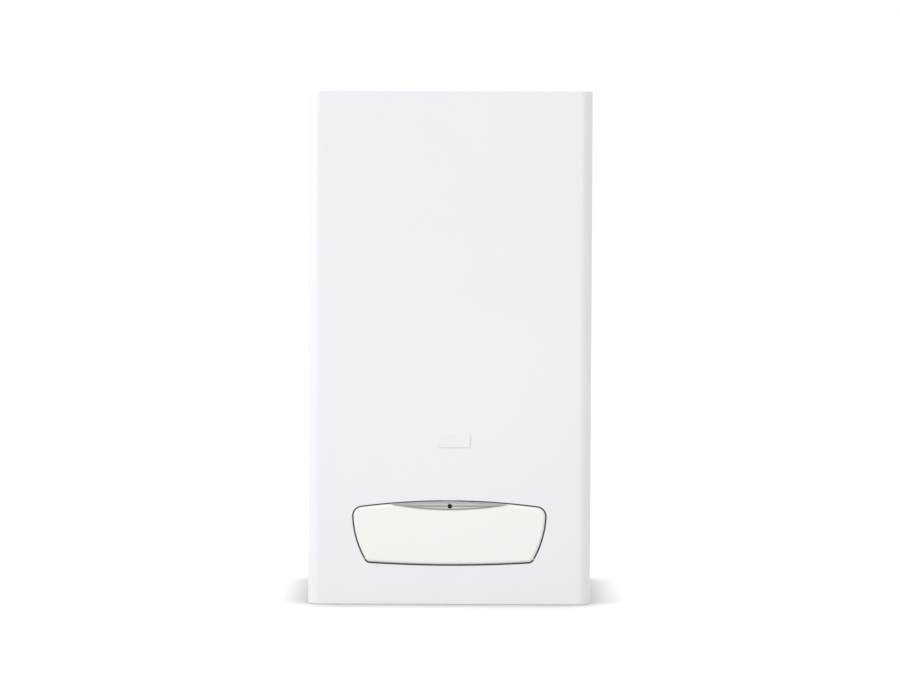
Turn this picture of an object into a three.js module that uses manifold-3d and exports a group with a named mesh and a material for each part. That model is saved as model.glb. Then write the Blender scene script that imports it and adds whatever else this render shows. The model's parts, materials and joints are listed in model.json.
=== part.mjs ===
// A wall-hung combi boiler: a white sheet-steel cover with a drop-down flap over the controls, on a
// chassis that carries the combustion chamber, fan and flue above and the pump, valves and water
// connections below.
// Lengths are millimetres and +Z is up. The front faces -Y and the wall is the plane y = 0. Heights in this
// file are measured from the cover's bottom edge; the last lines move the origin up to the wall rail.
import * as THREE from "three";
import { mergeVertices } from "three/addons/utils/BufferGeometryUtils.js";
import { ConvexGeometry } from "three/addons/geometries/ConvexGeometry.js";
import Module from "manifold-3d";

// ---- Driving dimensions ----
const WIDTH = 450; // outside of the cover, side to side
const HEIGHT = 816;
const DEPTH = 345; // wall to the cover's front face
const CORNER = 20; // outer radius of the cover's two upright edges
const SHEET = 1.2; // cover sheet
const PLATE = 1.5; // chassis sheet
const GAP = 0.3; // left between pieces that touch
const REAR_EDGE = -4; // the cover stops this far short of the wall
const COVER_LIP = 14; // inward lips along the cover's top and bottom
const REAR_LIP = 8; // inward lips along its two rear edges
const RAIL_HEIGHT = 745; // middle of the wall rail, which is the part's origin

// The flap's outline is five arcs a side, each running smoothly into the next.
const FLAP = {
  topApex: 164.8,
  topRadius: 1080,
  bottomApex: 64.3,
  bottomRadius: 2000,
  halfWidth: 152.7,
  widestAt: 147.5,
  sideRadius: 152,
  topCorner: 14.5,
  bottomCorner: 8,
};
const FLAP_GAP = 1.8; // open line between the flap and the cover
const FLAP_PROUD = 2; // its face stands this far in front of the cover
const FLAP_ROUND = 4.8; // radius round the edge of its face
const FLAP_SKIN = 2.5;
const FLAP_RIM = 9; // depth of the flap with its rim
const HINGE_Y = -DEPTH - FLAP_PROUD + FLAP_ROUND; // the axis lies in the plane where the rounding ends
const HINGE_PIN = 1.25;
const BEZEL_GROW = 4; // the bezel's tunnel is this much wider than the flap, all round
const BEZEL_REAR = -319.3;

// The eye-shaped silver trim along the flap's top edge, with a fine groove across it.
const GRIP = { lowApex: 151, lowRadius: 520, grooveAt: 157.8 };
const LENS = { x: 0.7, z: 157.6, radius: 3 };
const BADGE = { x: 8, z: 263, width: 49, height: 24, thick: 0.8 };

const CHASSIS_HALF = 210;
const SHELF = 392; // floor of the upper compartment
const CHAMBER_BACK = -110.8;
const CHAMBER_HALF = 208;
const RIM = -331; // front rim of the upper compartment and of the top panel
const TRAY = { top: 41.5, half: 216, front: -328, skirt: 12 };
const TOP_PANEL = { low: HEIGHT - 3.4, high: HEIGHT - 1.9, half: 216 };

// Pipe connections under the tray, left to right as seen from the front.
const CONNECTION_Y = -75;
const THREAD_END = 8; // the stubs stop this far above the cover's bottom edge
const CONNECTIONS = {
  heatingFlow: { x: -130, radius: 13.2, bore: 9 },
  hotWater: { x: -65, radius: 10.5, bore: 6.5 },
  gas: { x: 0, radius: 13.2, bore: 9 },
  coldWater: { x: 65, radius: 10.5, bore: 6.5 },
  heatingReturn: { x: 130, radius: 13.2, bore: 9 },
};

const CENTRE_Y = -211; // middle of the burner, exchanger, hood and flue
const FLUE = { air: 50, exhaust: 30, wall: 1.4 };
const FAN = { x: -38, z: 738, front: -236, back: -186, wheel: 40 };
const CHAMBER = { halfX: 125, halfY: 86, low: 440, high: 571.7, lining: 11.5 };
const EXCHANGER = { low: 572, high: 630, halfX: 108, halfY: 75, fins: 18 };
const TUBES = { count: 5, pitch: 28, radius: 8, level: 601 }; // the exchanger's water tubes
const PUMP = { x: 130, z: 150 };
const SAFETY = { x: -130, z: 100 };
const FILLING_X = 98;
const GLAND = { x: 185, y: -200 };

const FASCIA = { front: -318, back: -315, low: 52, high: 182, half: 172 };
const DIAL_Z = 118; // height of the knobs and the gauge
const KNOBS = { mode: -50, heating: 10, hotWater: 70 };
const GAUGE_X = -110;
const RESET = { x: 118, z: 104, radius: 5 };

// ---- Solids ----
const wasm = await Module();
wasm.setup();

// A closed geometry as a solid that can be joined and cut.
function solid(geometry) {
  const bare = geometry.index ? geometry.toNonIndexed() : geometry.clone();
  bare.deleteAttribute("normal");
  bare.deleteAttribute("uv");
  const merged = mergeVertices(bare, 1e-4);
  const triVerts = new Uint32Array(merged.index.array);
  return new wasm.Manifold(
    new wasm.Mesh({ numProp: 3, vertProperties: merged.attributes.position.array, triVerts }),
  );
}

const join = (...solids) => solids.reduce((whole, next) => whole.add(next));
const cut = (body, ...tools) => tools.reduce((whole, tool) => whole.subtract(tool), body);

// Turns a shape built along Y so that it lies along the named axis.
const ALONG = {
  x: new THREE.Matrix4().makeRotationZ(-Math.PI / 2),
  y: new THREE.Matrix4(),
  z: new THREE.Matrix4().makeRotationX(Math.PI / 2),
};

// A point from a place along the named axis and the other two coordinates, in X, Y, Z order.
function place(axis, along, [first, second]) {
  if (axis === "x") return [along, first, second];
  if (axis === "y") return [first, along, second];
  return [first, second, along];
}

function box([x0, x1], [y0, y1], [z0, z1]) {
  const shape = new THREE.BoxGeometry(x1 - x0, y1 - y0, z1 - z0);
  return solid(shape.translate((x0 + x1) / 2, (y0 + y1) / 2, (z0 + z1) / 2));
}

// A box that spans the middle: the same distance to the left and right of x = 0.
const across = (half, y, z) => box([-half, half], y, z);

// The same box on the right and, mirrored, on the left.
const bothSides = ([x0, x1], y, z) => [box([x0, x1], y, z), box([-x1, -x0], y, z)];

function rod(axis, radius, [from, to], centre, sides = 12) {
  const shape = new THREE.CylinderGeometry(radius, radius, to - from, sides);
  return solid(shape.applyMatrix4(ALONG[axis]).translate(...place(axis, (from + to) / 2, centre)));
}

// A body of revolution from [radius, distance along the axis] pairs that start and end on the axis.
function turned(axis, profile, centre, sides = 18) {
  const points = profile.map(([radius, along]) => new THREE.Vector2(radius, along));
  const rising = points.at(-1).y > points[0].y;
  const shape = new THREE.LatheGeometry(rising ? points : points.reverse(), sides);
  return solid(shape.applyMatrix4(ALONG[axis]).translate(...place(axis, 0, centre)));
}

// A flat outline, given as [across, up] points, made thick along the named axis.
const FLAT = {
  x: new THREE.Matrix4().makeBasis(
    new THREE.Vector3(0, 1, 0),
    new THREE.Vector3(0, 0, 1),
    new THREE.Vector3(1, 0, 0),
  ),
  y: new THREE.Matrix4().makeRotationX(Math.PI / 2),
  z: new THREE.Matrix4(),
};
function slab(outline, axis, [from, to]) {
  const shape = new THREE.Shape(outline.map(([u, v]) => new THREE.Vector2(u, v)));
  const made = new THREE.ExtrudeGeometry(shape, { depth: to - from, bevelEnabled: false });
  const start = axis === "y" ? to : from;
  return solid(made.applyMatrix4(FLAT[axis]).translate(...place(axis, start, [0, 0])));
}

const hull = (points) => solid(new ConvexGeometry(points.map((p) => new THREE.Vector3(...p))));

// Points along an arc, both ends included. Angles are in radians, anticlockwise from the right.
function arc([u, v], radius, from, to, steps) {
  return Array.from({ length: steps + 1 }, (_, i) => {
    const angle = from + ((to - from) * i) / steps;
    return [u + radius * Math.cos(angle), v + radius * Math.sin(angle)];
  });
}

// The centreline of a bent pipe: straight runs between corners, each corner rounded to the bend radius. Its
// parameter counts the rings, so a straight run takes one step and a bend takes a few.
class BentLine extends THREE.Curve {
  constructor(corners, bend, ringsPerBend = 3) {
    super();
    const at = corners.map((c) => new THREE.Vector3(...c));
    this.rings = [at[0]];
    for (let i = 1; i < at.length - 1; i++) {
      const before = at[i - 1].clone().sub(at[i]).normalize();
      const after = at[i + 1].clone().sub(at[i]).normalize();
      const half = before.angleTo(after) / 2;
      const middle = before.clone().add(after).normalize();
      const centre = at[i].clone().addScaledVector(middle, bend / Math.sin(half));
      const first = at[i].clone().addScaledVector(before, bend / Math.tan(half)).sub(centre);
      const last = at[i].clone().addScaledVector(after, bend / Math.tan(half)).sub(centre);
      const turn = first.angleTo(last);
      const axis = first.clone().cross(last).normalize();
      for (let k = 0; k <= ringsPerBend; k++) {
        const step = first.clone().applyAxisAngle(axis, (turn * k) / ringsPerBend);
        this.rings.push(centre.clone().add(step));
      }
    }
    this.rings.push(at.at(-1));
  }
  get steps() {
    return this.rings.length - 1;
  }
  getPoint(t) {
    const i = Math.min(Math.floor(t * this.steps), this.steps - 1);
    return this.rings[i].clone().lerp(this.rings[i + 1], t * this.steps - i);
  }
  getPointAt(t) {
    return this.getPoint(t);
  }
  getSpacedPoints() {
    return this.rings.map((ring) => ring.clone());
  }
  getTangentAt(t) {
    const i = Math.round(t * this.steps);
    const before = this.rings[Math.max(i - 1, 0)];
    const after = this.rings[Math.min(i + 1, this.steps)];
    return after.clone().sub(before).normalize();
  }
}

function pipe(corners, radius, bend = 18, sides = 8) {
  const line = new BentLine(corners, bend);
  const section = new THREE.Shape(arc([0, 0], radius, 0, 2 * Math.PI, sides).slice(0, -1).map(toVector));
  return solid(new THREE.ExtrudeGeometry(section, { steps: line.steps, extrudePath: line }));
}
const toVector = ([u, v]) => new THREE.Vector2(u, v);

// ---- Outlines ----
// Where two circles round a and b cross: of the two places, the one on the side that `turn` says.
function crossing(a, reachA, b, reachB, turn) {
  const [dx, dz] = [b[0] - a[0], b[1] - a[1]];
  const span = Math.hypot(dx, dz);
  const along = (reachA ** 2 - reachB ** 2 + span ** 2) / (2 * span);
  const aside = turn * Math.sqrt(reachA ** 2 - along ** 2);
  return [a[0] + (dx * along - dz * aside) / span, a[1] + (dz * along + dx * aside) / span];
}
const bearing = (from, to) => Math.atan2(to[1] - from[1], to[0] - from[0]);

const FLAP_CENTRES = {
  top: [0, FLAP.topApex - FLAP.topRadius],
  side: [FLAP.halfWidth - FLAP.sideRadius, FLAP.widestAt],
  bottom: [0, FLAP.bottomApex + FLAP.bottomRadius],
};

function lowerCornerCentre() {
  const { side, bottom } = FLAP_CENTRES;
  const { sideRadius, bottomRadius, bottomCorner } = FLAP;
  return crossing(side, sideRadius - bottomCorner, bottom, bottomRadius - bottomCorner, -1);
}

// The flap's outline grown by a distance, clockwise from the middle of the top edge.
function flapOutline(grow) {
  const { topRadius, topCorner, sideRadius, bottomCorner, bottomRadius } = FLAP;
  const { top, side, bottom } = FLAP_CENTRES;
  const high = crossing(top, topRadius - topCorner, side, sideRadius - topCorner, -1);
  const low = lowerCornerCentre();
  const right = [
    ...arc(top, topRadius + grow, Math.PI / 2, bearing(top, high), 5),
    ...arc(high, topCorner + grow, bearing(top, high), bearing(side, high), 4).slice(1),
    ...arc(side, sideRadius + grow, bearing(side, high), bearing(side, low), 4).slice(1),
    ...arc(low, bottomCorner + grow, bearing(side, low), bearing(bottom, low), 3).slice(1),
    ...arc(bottom, bottomRadius + grow, bearing(bottom, low), -Math.PI / 2, 3).slice(1),
  ];
  const left = right.slice(1, -1).reverse();
  return [...right, ...left.map(([x, z]) => [-x, z])];
}

// Height of the hinge axis: where the rounded corner of the flap's face is round about it.
const HINGE_Z = lowerCornerCentre()[1] - (FLAP.bottomCorner - FLAP_ROUND);

// The eye-shaped grip trim, grown by a distance: its upper arc is the flap's own top edge.
function gripOutline(grow) {
  const low = [0, GRIP.lowApex + GRIP.lowRadius];
  const top = [0, FLAP.topApex - FLAP.topRadius];
  const tip = crossing(top, FLAP.topRadius + grow, low, GRIP.lowRadius + grow, -1);
  const [start, end] = [bearing(low, [-tip[0], tip[1]]), bearing(low, tip)];
  const [right, left] = [bearing(top, tip), bearing(top, [-tip[0], tip[1]])];
  return [
    ...arc(low, GRIP.lowRadius + grow, start, end, 8),
    ...arc(top, FLAP.topRadius + grow, right, left, 8).slice(1, -1),
  ];
}

// The cover seen from above: outer face, front corners, and an inner edge set in by the given amounts.
function coverOutline(sideInset, frontInset, innerCorner) {
  const [half, front, steps] = [WIDTH / 2, -DEPTH, 6];
  const outer = [
    [-half, REAR_EDGE],
    ...arc([CORNER - half, front + CORNER], CORNER, Math.PI, 1.5 * Math.PI, steps),
    ...arc([half - CORNER, front + CORNER], CORNER, 1.5 * Math.PI, 2 * Math.PI, steps),
    [half, REAR_EDGE],
  ];
  const [inHalf, inFront] = [half - sideInset, front + frontInset];
  const corner = (sign) =>
    innerCorner
      ? arc(
          [sign * (inHalf - innerCorner), inFront + innerCorner],
          innerCorner,
          sign > 0 ? 2 * Math.PI : 1.5 * Math.PI,
          sign > 0 ? 1.5 * Math.PI : Math.PI,
          steps,
        )
      : [[sign * inHalf, inFront]];
  return [...outer, [inHalf, REAR_EDGE], ...corner(1), ...corner(-1), [-inHalf, REAR_EDGE]];
}

// A flat ring between two outlines, along Y.
const ring = (outer, inner, y) => cut(slab(outer, "y", y), slab(inner, "y", [y[0] - 1, y[1] + 1]));

const rectangle = (half, low, high) => [
  [-half, low],
  [half, low],
  [half, high],
  [-half, high],
];

// ---- Cover ----
const COVER_SCREW = { z: 26, y: -16, slot: 2.6 };

function frontCover() {
  const wrap = slab(coverOutline(SHEET, SHEET, CORNER - SHEET), "z", [0, HEIGHT]);
  const lip = coverOutline(COVER_LIP, COVER_LIP, 0);
  const half = WIDTH / 2;
  const rearLips = bothSides([half - REAR_LIP, half - 0.1], [REAR_EDGE - SHEET, REAR_EDGE], [0, HEIGHT]);
  const shell = join(wrap, slab(lip, "z", [0, SHEET]), slab(lip, "z", [HEIGHT - SHEET, HEIGHT]), ...rearLips);
  const window = slab(flapOutline(FLAP_GAP), "y", [-DEPTH - 1, -DEPTH + 5]);
  const { z, y, slot } = COVER_SCREW;
  const slots = bothSides([half - REAR_LIP - 1, half + 1], [y, REAR_EDGE + 1], [z - slot, z + slot]);
  const rearY = [REAR_EDGE - SHEET - 0.2, REAR_EDGE + 0.2];
  const notches = bothSides([half - REAR_LIP - 1, half - SHEET], rearY, [z - 9, z + 9]);
  return cut(shell, window, ...slots, ...notches);
}

function coverSeal() {
  const [half, low, high, width] = [CHAMBER_HALF - 0.5, SHELF + 2, HEIGHT - 7, 12];
  return ring(
    rectangle(half, low, high),
    rectangle(half - width, low + width, high - width),
    [-DEPTH + SHEET + GAP + 0.05, RIM - 0.4],
  );
}

function badgePlate() {
  const { x, z, width, height, thick } = BADGE;
  const face = -DEPTH - GAP;
  return box([x - width / 2, x + width / 2], [face - thick, face], [z - height / 2, z + height / 2]);
}

// The plastic frame behind the cover's window: a flange against the sheet, a tunnel back to the controls,
// ears that hold the hinge pins and a snap catch behind the flap's top edge.
const EAR = { inner: 136.6, outer: 142, reach: 3.4 };
const CATCH = { half: 12, low: 156, high: 170.5, front: -337.2, back: -327 };

function flapBezel() {
  const sheetBack = -DEPTH + SHEET + GAP;
  const flange = ring(flapOutline(12), flapOutline(BEZEL_GROW), [sheetBack, sheetBack + 2]);
  const tunnel = ring(flapOutline(BEZEL_GROW + 2), flapOutline(BEZEL_GROW), [sheetBack, BEZEL_REAR]);
  const { inner, outer, reach } = EAR;
  const earZ = [HINGE_Z - reach, HINGE_Z + reach];
  const ears = bothSides([inner, outer], [sheetBack, HINGE_Y + reach + 2], earZ);
  const { half, low, high, front, back } = CATCH;
  const catchBlock = across(half, [front, back], [low, high]);
  const pinHole = rod("x", HINGE_PIN + 0.15, [-150, 150], [HINGE_Y, HINGE_Z], 16);
  return cut(join(flange, tunnel, ...ears, catchBlock), pinHole);
}

// The flap's front as a solid block with its edge rounded, before it is hollowed out.
function flapBlock() {
  const shape = new THREE.Shape(flapOutline(0).map(toVector));
  const block = new THREE.ExtrudeGeometry(shape, {
    depth: 20,
    bevelThickness: FLAP_ROUND,
    bevelSize: FLAP_ROUND,
    bevelOffset: -FLAP_ROUND,
    bevelSegments: 3,
  });
  const face = -DEPTH - FLAP_PROUD;
  const made = solid(block.applyMatrix4(FLAT.y).translate(0, face + 20 + FLAP_ROUND, 0));
  return cut(made, across(WIDTH / 2, [face + FLAP_RIM, face + 60], [0, 300]));
}

const GRIP_BACK = -DEPTH - FLAP_PROUD + 3.6;

function controlFlap() {
  const face = -DEPTH - FLAP_PROUD;
  const backing = slab(gripOutline(3), "y", [face + 1, GRIP_BACK + 2]);
  const knuckles = bothSides([122, 131], [face + 2, HINGE_Y + 3], [HINGE_Z - 3, HINGE_Z + 3]);
  const keep = join(backing, ...knuckles);
  const hollow = cut(slab(flapOutline(-2.4), "y", [face + FLAP_SKIN, face + 30]), keep);
  const pocket = slab(gripOutline(0.4), "y", [face - 1, GRIP_BACK]);
  const pinHole = rod("x", HINGE_PIN + 0.35, [-150, 150], [HINGE_Y, HINGE_Z], 16);
  return cut(flapBlock(), hollow, pocket, pinHole);
}

function gripTrim() {
  const front = -DEPTH - 5;
  const eye = slab(gripOutline(-0.2), "y", [front, GRIP_BACK - GAP]);
  const groove = across(
    120,
    [front, -DEPTH - FLAP_PROUD + 0.7],
    [GRIP.grooveAt - 0.5, GRIP.grooveAt + 0.5],
  );
  const lensHole = rod("y", LENS.radius + 0.35, [front, -DEPTH + 5], [LENS.x, LENS.z], 16);
  return cut(eye.intersect(flapBlock()), groove, lensHole);
}

function statusLens() {
  const face = -DEPTH - FLAP_PROUD;
  const r = LENS.radius;
  const profile = [
    [0, face - 0.5],
    [r * 0.6, face - 0.35],
    [r, face + 0.3],
    [r, GRIP_BACK - GAP],
    [0, GRIP_BACK - GAP],
  ];
  return turned("y", profile, [LENS.x, LENS.z], 16);
}

const hingePin = (side) =>
  rod("x", HINGE_PIN, side > 0 ? [124, 141.5] : [-141.5, -124], [HINGE_Y, HINGE_Z], 12);

// ---- Chassis ----
const RAIL = { half: 190, low: RAIL_HEIGHT - 30, high: RAIL_HEIGHT + 30, thick: 2.5 };
const TONGUE = { inner: 120, outer: 150, reach: -17, lip: 12 };
const RAIL_SLOTS = { x: [-165, -60, 60, 165], half: 6, radius: 4.5 };

function wallRail() {
  const z = RAIL_HEIGHT;
  const strip = across(RAIL.half, [-RAIL.thick, 0], [RAIL.low, RAIL.high]);
  const arms = bothSides([TONGUE.inner, TONGUE.outer], [TONGUE.reach, -1], [z - RAIL.thick, z]);
  const lipY = [TONGUE.reach, TONGUE.reach + RAIL.thick];
  const lips = bothSides([TONGUE.inner, TONGUE.outer], lipY, [z - 1, z + TONGUE.lip]);
  const slots = RAIL_SLOTS.x.map((x) => {
    const [half, r] = [RAIL_SLOTS.half, RAIL_SLOTS.radius];
    const outline = [
      ...arc([x + half, z], r, -Math.PI / 2, Math.PI / 2, 6),
      ...arc([x - half, z], r, Math.PI / 2, 1.5 * Math.PI, 6),
    ];
    return slab(outline, "y", [-RAIL.thick - 1, 1]);
  });
  return cut(join(strip, ...arms, ...lips), ...slots);
}

const BACK = { front: -11.5, back: -10, low: 44, high: TOP_PANEL.low - 0.4 };

function backFrame() {
  const plate = across(CHASSIS_HALF, [BACK.front, BACK.back], [BACK.low, BACK.high]);
  const sideOutline = [
    [BACK.back, BACK.low],
    [BACK.back, BACK.high],
    [-165, BACK.high],
    [-165, SHELF - 10],
    [-48, SHELF - 70],
    [-48, BACK.low],
  ];
  const right = slab(sideOutline, "x", [CHASSIS_HALF - PLATE, CHASSIS_HALF]);
  const left = slab(sideOutline, "x", [-CHASSIS_HALF, -CHASSIS_HALF + PLATE]);
  const z = [RAIL_HEIGHT - 18, RAIL_HEIGHT + GAP];
  const hooks = bothSides([TONGUE.inner - 2, TONGUE.outer + 2], [BACK.front - 1, BACK.back + 1], z);
  return cut(join(plate, right, left), ...hooks);
}

function wallSpacer() {
  return across(180, [BACK.back + GAP, 0], [60, 85]);
}

// Holes through the upper compartment's floor: flow pipe, return pipe and gas pipe.
const FLOW_DROP = [-178, -267];
const RETURN_RISE = [170, -155];
const GAS_RISE = [0, -306];

function chamberBox() {
  const high = BACK.high;
  const wall = 1.2;
  const back = across(CHAMBER_HALF, [CHAMBER_BACK - wall, CHAMBER_BACK], [SHELF, high]);
  const sides = bothSides([CHAMBER_HALF - wall, CHAMBER_HALF], [RIM, CHAMBER_BACK], [SHELF, high]);
  const floor = across(CHAMBER_HALF, [RIM, CHAMBER_BACK], [SHELF, SHELF + wall]);
  const rim = ring(
    rectangle(CHAMBER_HALF, SHELF, high),
    rectangle(CHAMBER_HALF - 9, SHELF + 9, high - 9),
    [RIM, RIM + wall],
  );
  const holes = [
    rod("z", 11, [SHELF - 1, SHELF + 3], FLOW_DROP),
    rod("z", 11, [SHELF - 1, SHELF + 3], RETURN_RISE),
    rod("z", 10, [SHELF - 1, SHELF + 3], GAS_RISE),
    rod("z", 7, [SHELF - 1, SHELF + 3], LOOM_RISE, 12),
  ];
  return cut(join(back, ...sides, floor, rim), ...holes);
}

const BLANK = { x: -130, y: CENTRE_Y, radius: 40 };

function topPanel() {
  const { low, high, half } = TOP_PANEL;
  const sheet = across(half, [RIM, -11.8], [low, high]);
  const rear = across(200, [-13.3, -11.8], [low - 18, low + 0.5]);
  const flueHole = rod("z", FLUE.air + 1, [low - 1, high + 1], [0, CENTRE_Y], 32);
  const blankHole = rod("z", BLANK.radius - 6, [low - 1, high + 1], [BLANK.x, BLANK.y], 24);
  return cut(join(sheet, rear), flueHole, blankHole);
}

function airBlankingPlate() {
  const low = TOP_PANEL.high + GAP;
  return rod("z", BLANK.radius, [low, low + PLATE], [BLANK.x, BLANK.y], 24);
}

function baseTray() {
  const { top, half, front, skirt } = TRAY;
  const low = top - PLATE;
  const floor = across(half, [front, -13.3], [low, top]);
  const apron = across(half, [front, front + PLATE], [skirt, top]);
  const sides = bothSides([half - PLATE, half], [front, -13.3], [skirt, top]);
  const rear = across(200, [-13.3, -11.8], [low, 70]);
  const tabs = bothSides(
    [half - PLATE, WIDTH / 2 - SHEET - 0.5],
    [-24, -13.3],
    [COVER_SCREW.z - 6, COVER_SCREW.z + 6],
  );
  const z = [low - 1, top + 1];
  const holes = [
    ...Object.values(CONNECTIONS).map(({ x, radius }) => rod("z", radius + 1, z, [x, CONNECTION_Y])),
    rod("z", 5, z, [FILLING_X, CONNECTION_Y], 10),
    rod("z", 9.5, z, [SAFETY.x, SAFETY_DROP_Y]),
    rod("z", 9.6, z, [GLAND.x, GLAND.y]),
    rod("x", 1.9, [-230, 230], [COVER_SCREW.y - 2.5, COVER_SCREW.z], 12),
  ];
  return cut(join(floor, apron, ...sides, rear, ...tabs), ...holes);
}
const SAFETY_DROP_Y = -128;

// ---- Flue, fan and combustion ----
// A short tube under the cover's top, with a flange round its upper end for the flue.
function airInletSocket() {
  const { air, wall } = FLUE;
  const low = TOP_PANEL.high + GAP;
  const centre = [0, CENTRE_Y];
  const flange = rod("z", air + 14, [low, HEIGHT], centre, 32);
  const tube = rod("z", air, [HEIGHT - 22, HEIGHT], centre, 32);
  return cut(join(flange, tube), rod("z", air - wall, [790, HEIGHT + 1], centre, 32));
}

const OUTLET_TOP = 787.5;

function exhaustSpigot() {
  const { exhaust, wall } = FLUE;
  const centre = [0, CENTRE_Y];
  const flange = rod("z", exhaust + 5, [OUTLET_TOP + GAP, OUTLET_TOP + 2], centre, 24);
  const tube = rod("z", exhaust, [OUTLET_TOP + GAP, HEIGHT - 0.5], centre, 24);
  return cut(join(flange, tube), rod("z", exhaust - wall, [OUTLET_TOP - 1, HEIGHT + 1], centre, 24));
}

// The fan's scroll: a spiral that narrows from the outlet on the right, under the wheel and up the left side.
function scrollOutline(inset) {
  const [widest, narrowing, turn] = [62, 14, (300 * Math.PI) / 180];
  const tongue = (285 * Math.PI) / 180;
  const steps = 20;
  const spiral = Array.from({ length: steps + 1 }, (_, i) => {
    const swept = (tongue * i) / steps;
    const radius = widest - (narrowing * swept) / turn - inset;
    return [FAN.x + radius * Math.cos(-swept), FAN.z + radius * Math.sin(-swept)];
  });
  const left = spiral.at(-1)[0];
  const top = inset ? OUTLET_TOP + 5 : OUTLET_TOP;
  return [[FAN.x + widest - inset, top], ...spiral, [left, top]];
}

function fanHousing() {
  const { front, back, x, z } = FAN;
  const wall = 1.5;
  const shell = slab(scrollOutline(0), "y", [front, back]);
  const space = slab(scrollOutline(wall), "y", [front + wall, back - wall]);
  const eye = rod("y", 26, [back - 3, back + 1], [x, z], 20);
  const shaftHole = rod("y", 5, [front - 1, front + 3], [x, z], 16);
  const tap = rod("x", 2.6, [x + 61, x + 70], [CENTRE_Y, 768], 10);
  const flange = cut(
    box([-32, 32], [front - 2, back + 2], [OUTLET_TOP - 2, OUTLET_TOP]),
    box([-22, 22], [front + wall, back - wall], [OUTLET_TOP - 3, OUTLET_TOP + 1]),
  );
  return join(cut(shell, space, eye, shaftHole), tap, flange);
}

function fanImpeller() {
  const { x, z, wheel } = FAN;
  const [front, back, blades] = [-230, -193, 14];
  const disc = rod("y", wheel, [front, front + 1.5], [x, z], 24);
  const rim = cut(
    rod("y", wheel, [back - 1.5, back], [x, z], 24),
    rod("y", wheel - 10, [back - 3, back + 1], [x, z], 24),
  );
  const vane = new THREE.BoxGeometry(9, back - front - 1, 1.2).translate(wheel - 5.2, (front + back) / 2, 0);
  const vanes = Array.from({ length: blades }, (_, i) => {
    const turn = (i / blades) * 2 * Math.PI;
    return solid(vane.clone().rotateY(turn).translate(x, 0, z));
  });
  const hub = rod("y", 9, [front - 2, front + 14], [x, z], 20);
  const shaft = rod("y", 2.5, [-248, front], [x, z], 12);
  return join(disc, rim, ...vanes, hub, shaft);
}

function fanMotor() {
  const { x, z, front } = FAN;
  const face = front - GAP;
  const profile = [
    [0, face],
    [14, face],
    [14, face - 6],
    [33, face - 8],
    [34, face - 14],
    [34, face - 44],
    [30, face - 50],
    [9, face - 51],
    [9, face - 55],
    [0, face - 55],
  ];
  const shaftHole = rod("y", 3.4, [-252, face + 1], [x, z], 12);
  const terminals = box([x - 12, x + 12], [face - 40, face - 16], [z + 30, z + 42]);
  return cut(join(turned("y", profile, [x, z], 20), terminals), shaftHole);
}

const HOOD = { halfX: 120, halfY: 80, low: EXCHANGER.high + GAP, skirt: 642, high: 680, topX: 78, topY: 34 };
const RISER = { half: 40, front: -185.7, back: -140, top: 780 };

// The hood funnels the flue gas from the whole exchanger into a riser behind the fan's inlet. With an inset
// it is the space inside the sheet.
function hoodBody(inset) {
  const { halfX, halfY, low, skirt, high } = HOOD;
  const level = (x, y, z) => [
    [x - inset, CENTRE_Y + y - inset, z],
    [inset - x, CENTRE_Y + y - inset, z],
    [x - inset, CENTRE_Y - y + inset, z],
    [inset - x, CENTRE_Y - y + inset, z],
  ];
  const funnel = hull([
    ...level(halfX, halfY, inset ? low - 5 : low),
    ...level(halfX, halfY, skirt - inset / 2),
    ...level(HOOD.topX, HOOD.topY, high - inset),
  ]);
  const riser = box(
    [FAN.x - RISER.half + inset, FAN.x + RISER.half - inset],
    [RISER.front + inset, RISER.back - inset],
    [skirt + 4, RISER.top - inset],
  );
  return join(funnel, riser);
}

function flueHood() {
  const inletHole = rod("y", 27, [RISER.front - 1, RISER.front + 3], [FAN.x, FAN.z], 20);
  return cut(hoodBody(0), hoodBody(PLATE), inletHole);
}

const tubeY = (i) => CENTRE_Y + (i - (TUBES.count - 1) / 2) * TUBES.pitch;

// Copper fins round a solid core; the water tubes show only at the two ends, joined in pairs by return bends.
function heatExchanger() {
  const { low, high, halfX, halfY, fins } = EXCHANGER;
  const { count, radius, level } = TUBES;
  const core = across(halfX, [CENTRE_Y - halfY + 3, CENTRE_Y + halfY - 3], [low + 5, high - 5]);
  const pitch = (2 * halfX) / fins;
  const fin = Array.from({ length: fins + 1 }, (_, i) => {
    const x = -halfX + i * pitch;
    return box([x - 1.1, x + 1.1], [CENTRE_Y - halfY, CENTRE_Y + halfY], [low, high]);
  });
  const bend = (side, i) => {
    const [near, far] = [side * (halfX - 3), side * (halfX + 31)];
    const ends = [tubeY(i), tubeY(i + 1)];
    return pipe(
      [
        [near, ends[0], level],
        [far, ends[0], level],
        [far, ends[1], level],
        [near, ends[1], level],
      ],
      radius,
      13.9,
    );
  };
  const [first, last] = [tubeY(0), tubeY(count - 1)];
  const ports = [
    rod("x", radius, [-PORT_X, 3 - halfX], [first, level]),
    rod("x", radius, [halfX - 3, PORT_X], [last, level]),
    rod("x", radius + 4, [-PORT_X, 8 - PORT_X], [first, level], 6),
    rod("x", radius + 4, [PORT_X - 8, PORT_X], [last, level], 6),
  ];
  return join(core, ...fin, bend(-1, 1), bend(-1, 3), bend(1, 0), bend(1, 2), ...ports);
}
const PORT_X = 146;

const SIGHT = { x: 72, z: 520, radius: 9 };
const ELECTRODE = { x: 30, z: 480 };
const INJECTOR_Z = 446;

// Openings shared by the chamber's front wall and its lining.
function chamberFrontHoles() {
  const y = [CENTRE_Y - CHAMBER.halfY - 1, CENTRE_Y - CHAMBER.halfY + CHAMBER.lining + 3];
  return [
    across(106, y, [CHAMBER.low - 1, CHAMBER.low + 15]),
    rod("y", SIGHT.radius, y, [SIGHT.x, SIGHT.z], 20),
    rod("y", 5.2, y, [ELECTRODE.x, ELECTRODE.z], 14),
  ];
}

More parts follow.
